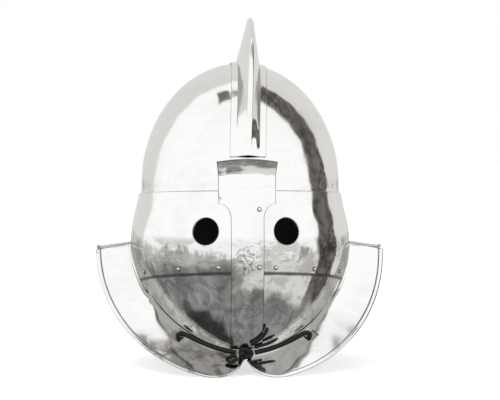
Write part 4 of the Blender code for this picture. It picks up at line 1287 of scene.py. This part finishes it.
def studio_room(studio, world):
    """World light by direction: white in front and above, grey behind and below, dark on the right.

    A direction's share ahead, and its rise round that axis, give the boundaries. What the
    helmet mirrors of itself shows a plainer room.
    """
    world.use_nodes = True
    tree = world.node_tree
    tree.nodes.clear()
    direction = Value(put(tree, "ShaderNodeTexCoord"), "Generated")
    sine, cosine = math.sin(CAMERA_AZIMUTH), math.cos(CAMERA_AZIMUTH)
    axes = ((sine, -cosine, 0), (cosine, sine, 0), (0, 0, 1))
    ahead, right, up = (direction.vector("DOT_PRODUCT", axis) for axis in axes)
    squeezed = direction.mapped((1, 1, 2.6))
    ripple_fine = noise(squeezed, 9.0, 5, 0.6, 0.8)
    cloud = noise(squeezed, 2.6, 4, 0.6, 0.4) * 0.5 + ripple_fine * 0.5
    wobble = (cloud - 0.5) * 0.5
    low_up, wobbly_right = up + wobble, right + wobble
    around = (1.0 - ahead * ahead).math("SQRT").most(0.001)
    rise = up.math("DIVIDE", around, clamp=True)

    def grey(value):
        """A warm grey, as a factor of the brightness below."""
        return tuple(studio.below * value * tint for tint in (1, 0.99, 0.97)) + (1,)

    uneven = (ripple_fine - 0.5) * 0.10
    back_edge = rise * BACK_EDGE[0] + BACK_EDGE[1] + uneven
    strip_edge = rise * STRIP_EDGE[0] + STRIP_EDGE[1] + uneven * 1.3
    behind = (back_edge - ahead).step(-0.012, 0.012)
    strip = (strip_edge - ahead).step(-0.02, 0.02) * (1.0 - behind)
    strip = strip * right.step(*STRIP_SIDE) * up.step(*STRIP_FOOT)
    back = tuple(studio.behind * tint for tint in (1, 0.99, 0.965)) + (1,)
    colour = behind.blend((studio.front,) * 3 + (1,), back)

    panel = abs(right - PANEL_PLACE[0]).step(*PANEL_EDGES[0])
    panel = panel * abs(ahead - PANEL_PLACE[1]).step(*PANEL_EDGES[1])
    colour = (panel * up.step(0.7, 0.8)).blend(colour, PANEL_COLOUR)
    canopy_side = cloud * 0.5 + (abs(right - CANOPY_PLACE[0]) - CANOPY_HALF[0])
    canopy_depth = cloud * 0.4 + (abs(ahead - CANOPY_PLACE[1]) - CANOPY_HALF[1])
    canopy = canopy_side.step(*CANOPY_EDGE) * canopy_depth.step(*CANOPY_EDGE) * up.step(0.6, 0.7)
    colour = canopy.blend(colour, CANOPY_COLOUR)

    skyline = noise(direction.mapped((1, 1, 0.15)), 8.0, 2, 0.7).step(0.53, 0.56)
    colour = (skyline * up.step(0.0, -0.012)).blend(colour, grey(1.9))
    haze = ripple_fine.step(0.50, 0.56).blend(grey(2.4), grey(1.5))
    haze = wobbly_right.step(0.0, 0.08).blend(haze, grey(3.3))
    colour = low_up.step(*HAZE_LEVELS).blend(colour, haze)
    ground = cloud.step(0.40, 0.62).blend(grey(0.62), grey(1.5))
    ground = (wobbly_right.step(0.04, 0.10) * low_up.step(*PATCH_LEVELS)).blend(ground, grey(3.0))
    slope = right * 0.35 + up + wobble * 0.12
    ground = (slope.step(*WEDGE_SLOPE) * right.step(*WEDGE_SIDE)).blend(ground, grey(0.16))
    colour = low_up.step(*GROUND_LEVELS).blend(colour, ground)
    colour = strip.blend(colour, ripple_fine.step(0.40, 0.62).blend(*STRIP_COLOURS))

    path = put(tree, "ShaderNodeLightPath")
    again = Value(path, "Ray Depth").step(*MIRRORED_ONCE_MORE) * SECOND_BOUNCE
    colour = again.blend(colour, up.step(0.0, 0.5).blend(grey(2.9), grey(1.3)))
    room = Value(put(tree, "ShaderNodeBackground", {"Color": colour, "Strength": 1.0}))
    plain = Value(put(tree, "ShaderNodeBackground", {"Color": (1, 1, 1, 1), "Strength": 1.0}))
    both = put(tree, "ShaderNodeMixShader", {0: Value(path, "Is Camera Ray"), 1: room, 2: plain})
    put(tree, "ShaderNodeOutputWorld", {"Surface": Value(both)})


class HELMET_OT_stage(bpy.types.Operator):
    """Make the pale floor, the soft light and the camera."""

    bl_idname = "helmet.stage"
    bl_label = "Studio"

    def execute(self, context):
        scene = context.scene
        studio = scene.helmet_studio
        scene.view_settings.view_transform = "Standard"
        scene.world = bpy.data.worlds.new("studio room")
        studio_room(studio, scene.world)
        mesh = bpy.data.meshes.new("floor")
        corners = [(x * FLOOR_HALF, y * FLOOR_HALF, 0) for x, y in ((-1, -1), (1, -1), (1, 1), (-1, 1))]
        mesh.from_pydata(corners, [], [(0, 1, 2, 3)])
        feed(new_finish("pale floor", 0.0)[1], {
            "Base Color": (*studio.floor, 1),
            "Roughness": 0.9,
            "Specular IOR Level": 0.0,
            "Emission Color": (1, 1, 1, 1),
            "Emission Strength": FLOOR_GLOW,
        })
        mesh.materials.append(bpy.data.materials["pale floor"])
        floor = bpy.data.objects.new("floor", mesh)
        lamp = bpy.data.lights.new("soft light", "AREA")
        lamp.shape, lamp.size, lamp.energy = "DISK", LAMP_SIZE, LAMP_POWER
        soft = bpy.data.objects.new("soft light", lamp)
        soft.location = LAMP_PLACE
        soft.rotation_euler = (CAMERA_TARGET - LAMP_PLACE).to_track_quat("-Z", "Y").to_euler()
        for made in (floor, soft):
            made.visible_glossy = False
            scene.collection.objects.link(made)

        lens = bpy.data.cameras.new("camera")
        lens.lens, lens.shift_x = CAMERA_LENS, CAMERA_SHIFT
        lens.clip_start, lens.clip_end = 0.05, 60
        camera = bpy.data.objects.new("camera", lens)
        turn, rise = CAMERA_AZIMUTH, CAMERA_ELEVATION
        away = Vector((math.sin(turn) * math.cos(rise), -math.cos(turn) * math.cos(rise), math.sin(rise)))
        camera.location = CAMERA_TARGET + away * CAMERA_DISTANCE
        camera.rotation_euler = (-away).to_track_quat("-Z", "Y").to_euler()
        scene.collection.objects.link(camera)
        scene.camera = camera
        return {"FINISHED"}


OPERATORS = (
    HELMET_OT_bowl,
    HELMET_OT_visor,
    HELMET_OT_nose_band,
    HELMET_OT_flanges,
    HELMET_OT_neck_guard,
    HELMET_OT_crest,
    HELMET_OT_rivets,
    HELMET_OT_hinges,
    HELMET_OT_lace,
    HELMET_OT_stage,
)


class HELMET_PT_panel(bpy.types.Panel):
    """Panel with the helmet's settings and its pieces."""

    bl_idname = "HELMET_PT_panel"
    bl_label = "Gladiator helmet"
    bl_space_type = "VIEW_3D"
    bl_region_type = "UI"
    bl_category = "Helmet"

    def draw(self, context):
        scene = context.scene
        for group in (scene.helmet_sizes, scene.helmet_colours, scene.helmet_studio):
            for key in group.__annotations__:
                self.layout.prop(group, key)
        for operator in OPERATORS:
            self.layout.operator(operator.bl_idname)


CLASSES = (HelmetSizes, HelmetColours, HelmetStudio, *OPERATORS, HELMET_PT_panel)


def register():
    for made in CLASSES:
        bpy.utils.register_class(made)
    bpy.types.Scene.helmet_sizes = PointerProperty(type=HelmetSizes)
    bpy.types.Scene.helmet_colours = PointerProperty(type=HelmetColours)
    bpy.types.Scene.helmet_studio = PointerProperty(type=HelmetStudio)


def unregister():
    del bpy.types.Scene.helmet_sizes, bpy.types.Scene.helmet_colours, bpy.types.Scene.helmet_studio
    for made in reversed(CLASSES):
        bpy.utils.unregister_class(made)


def main():
    register()
    bpy.ops.helmet.bowl()
    bpy.ops.helmet.visor()
    bpy.ops.helmet.nose_band()
    bpy.ops.helmet.flanges()
    bpy.ops.helmet.neck_guard()
    bpy.ops.helmet.crest()
    bpy.ops.helmet.rivets()
    bpy.ops.helmet.hinges()
    bpy.ops.helmet.lace()
    bpy.ops.helmet.stage()


if __name__ == "__main__":
    main()
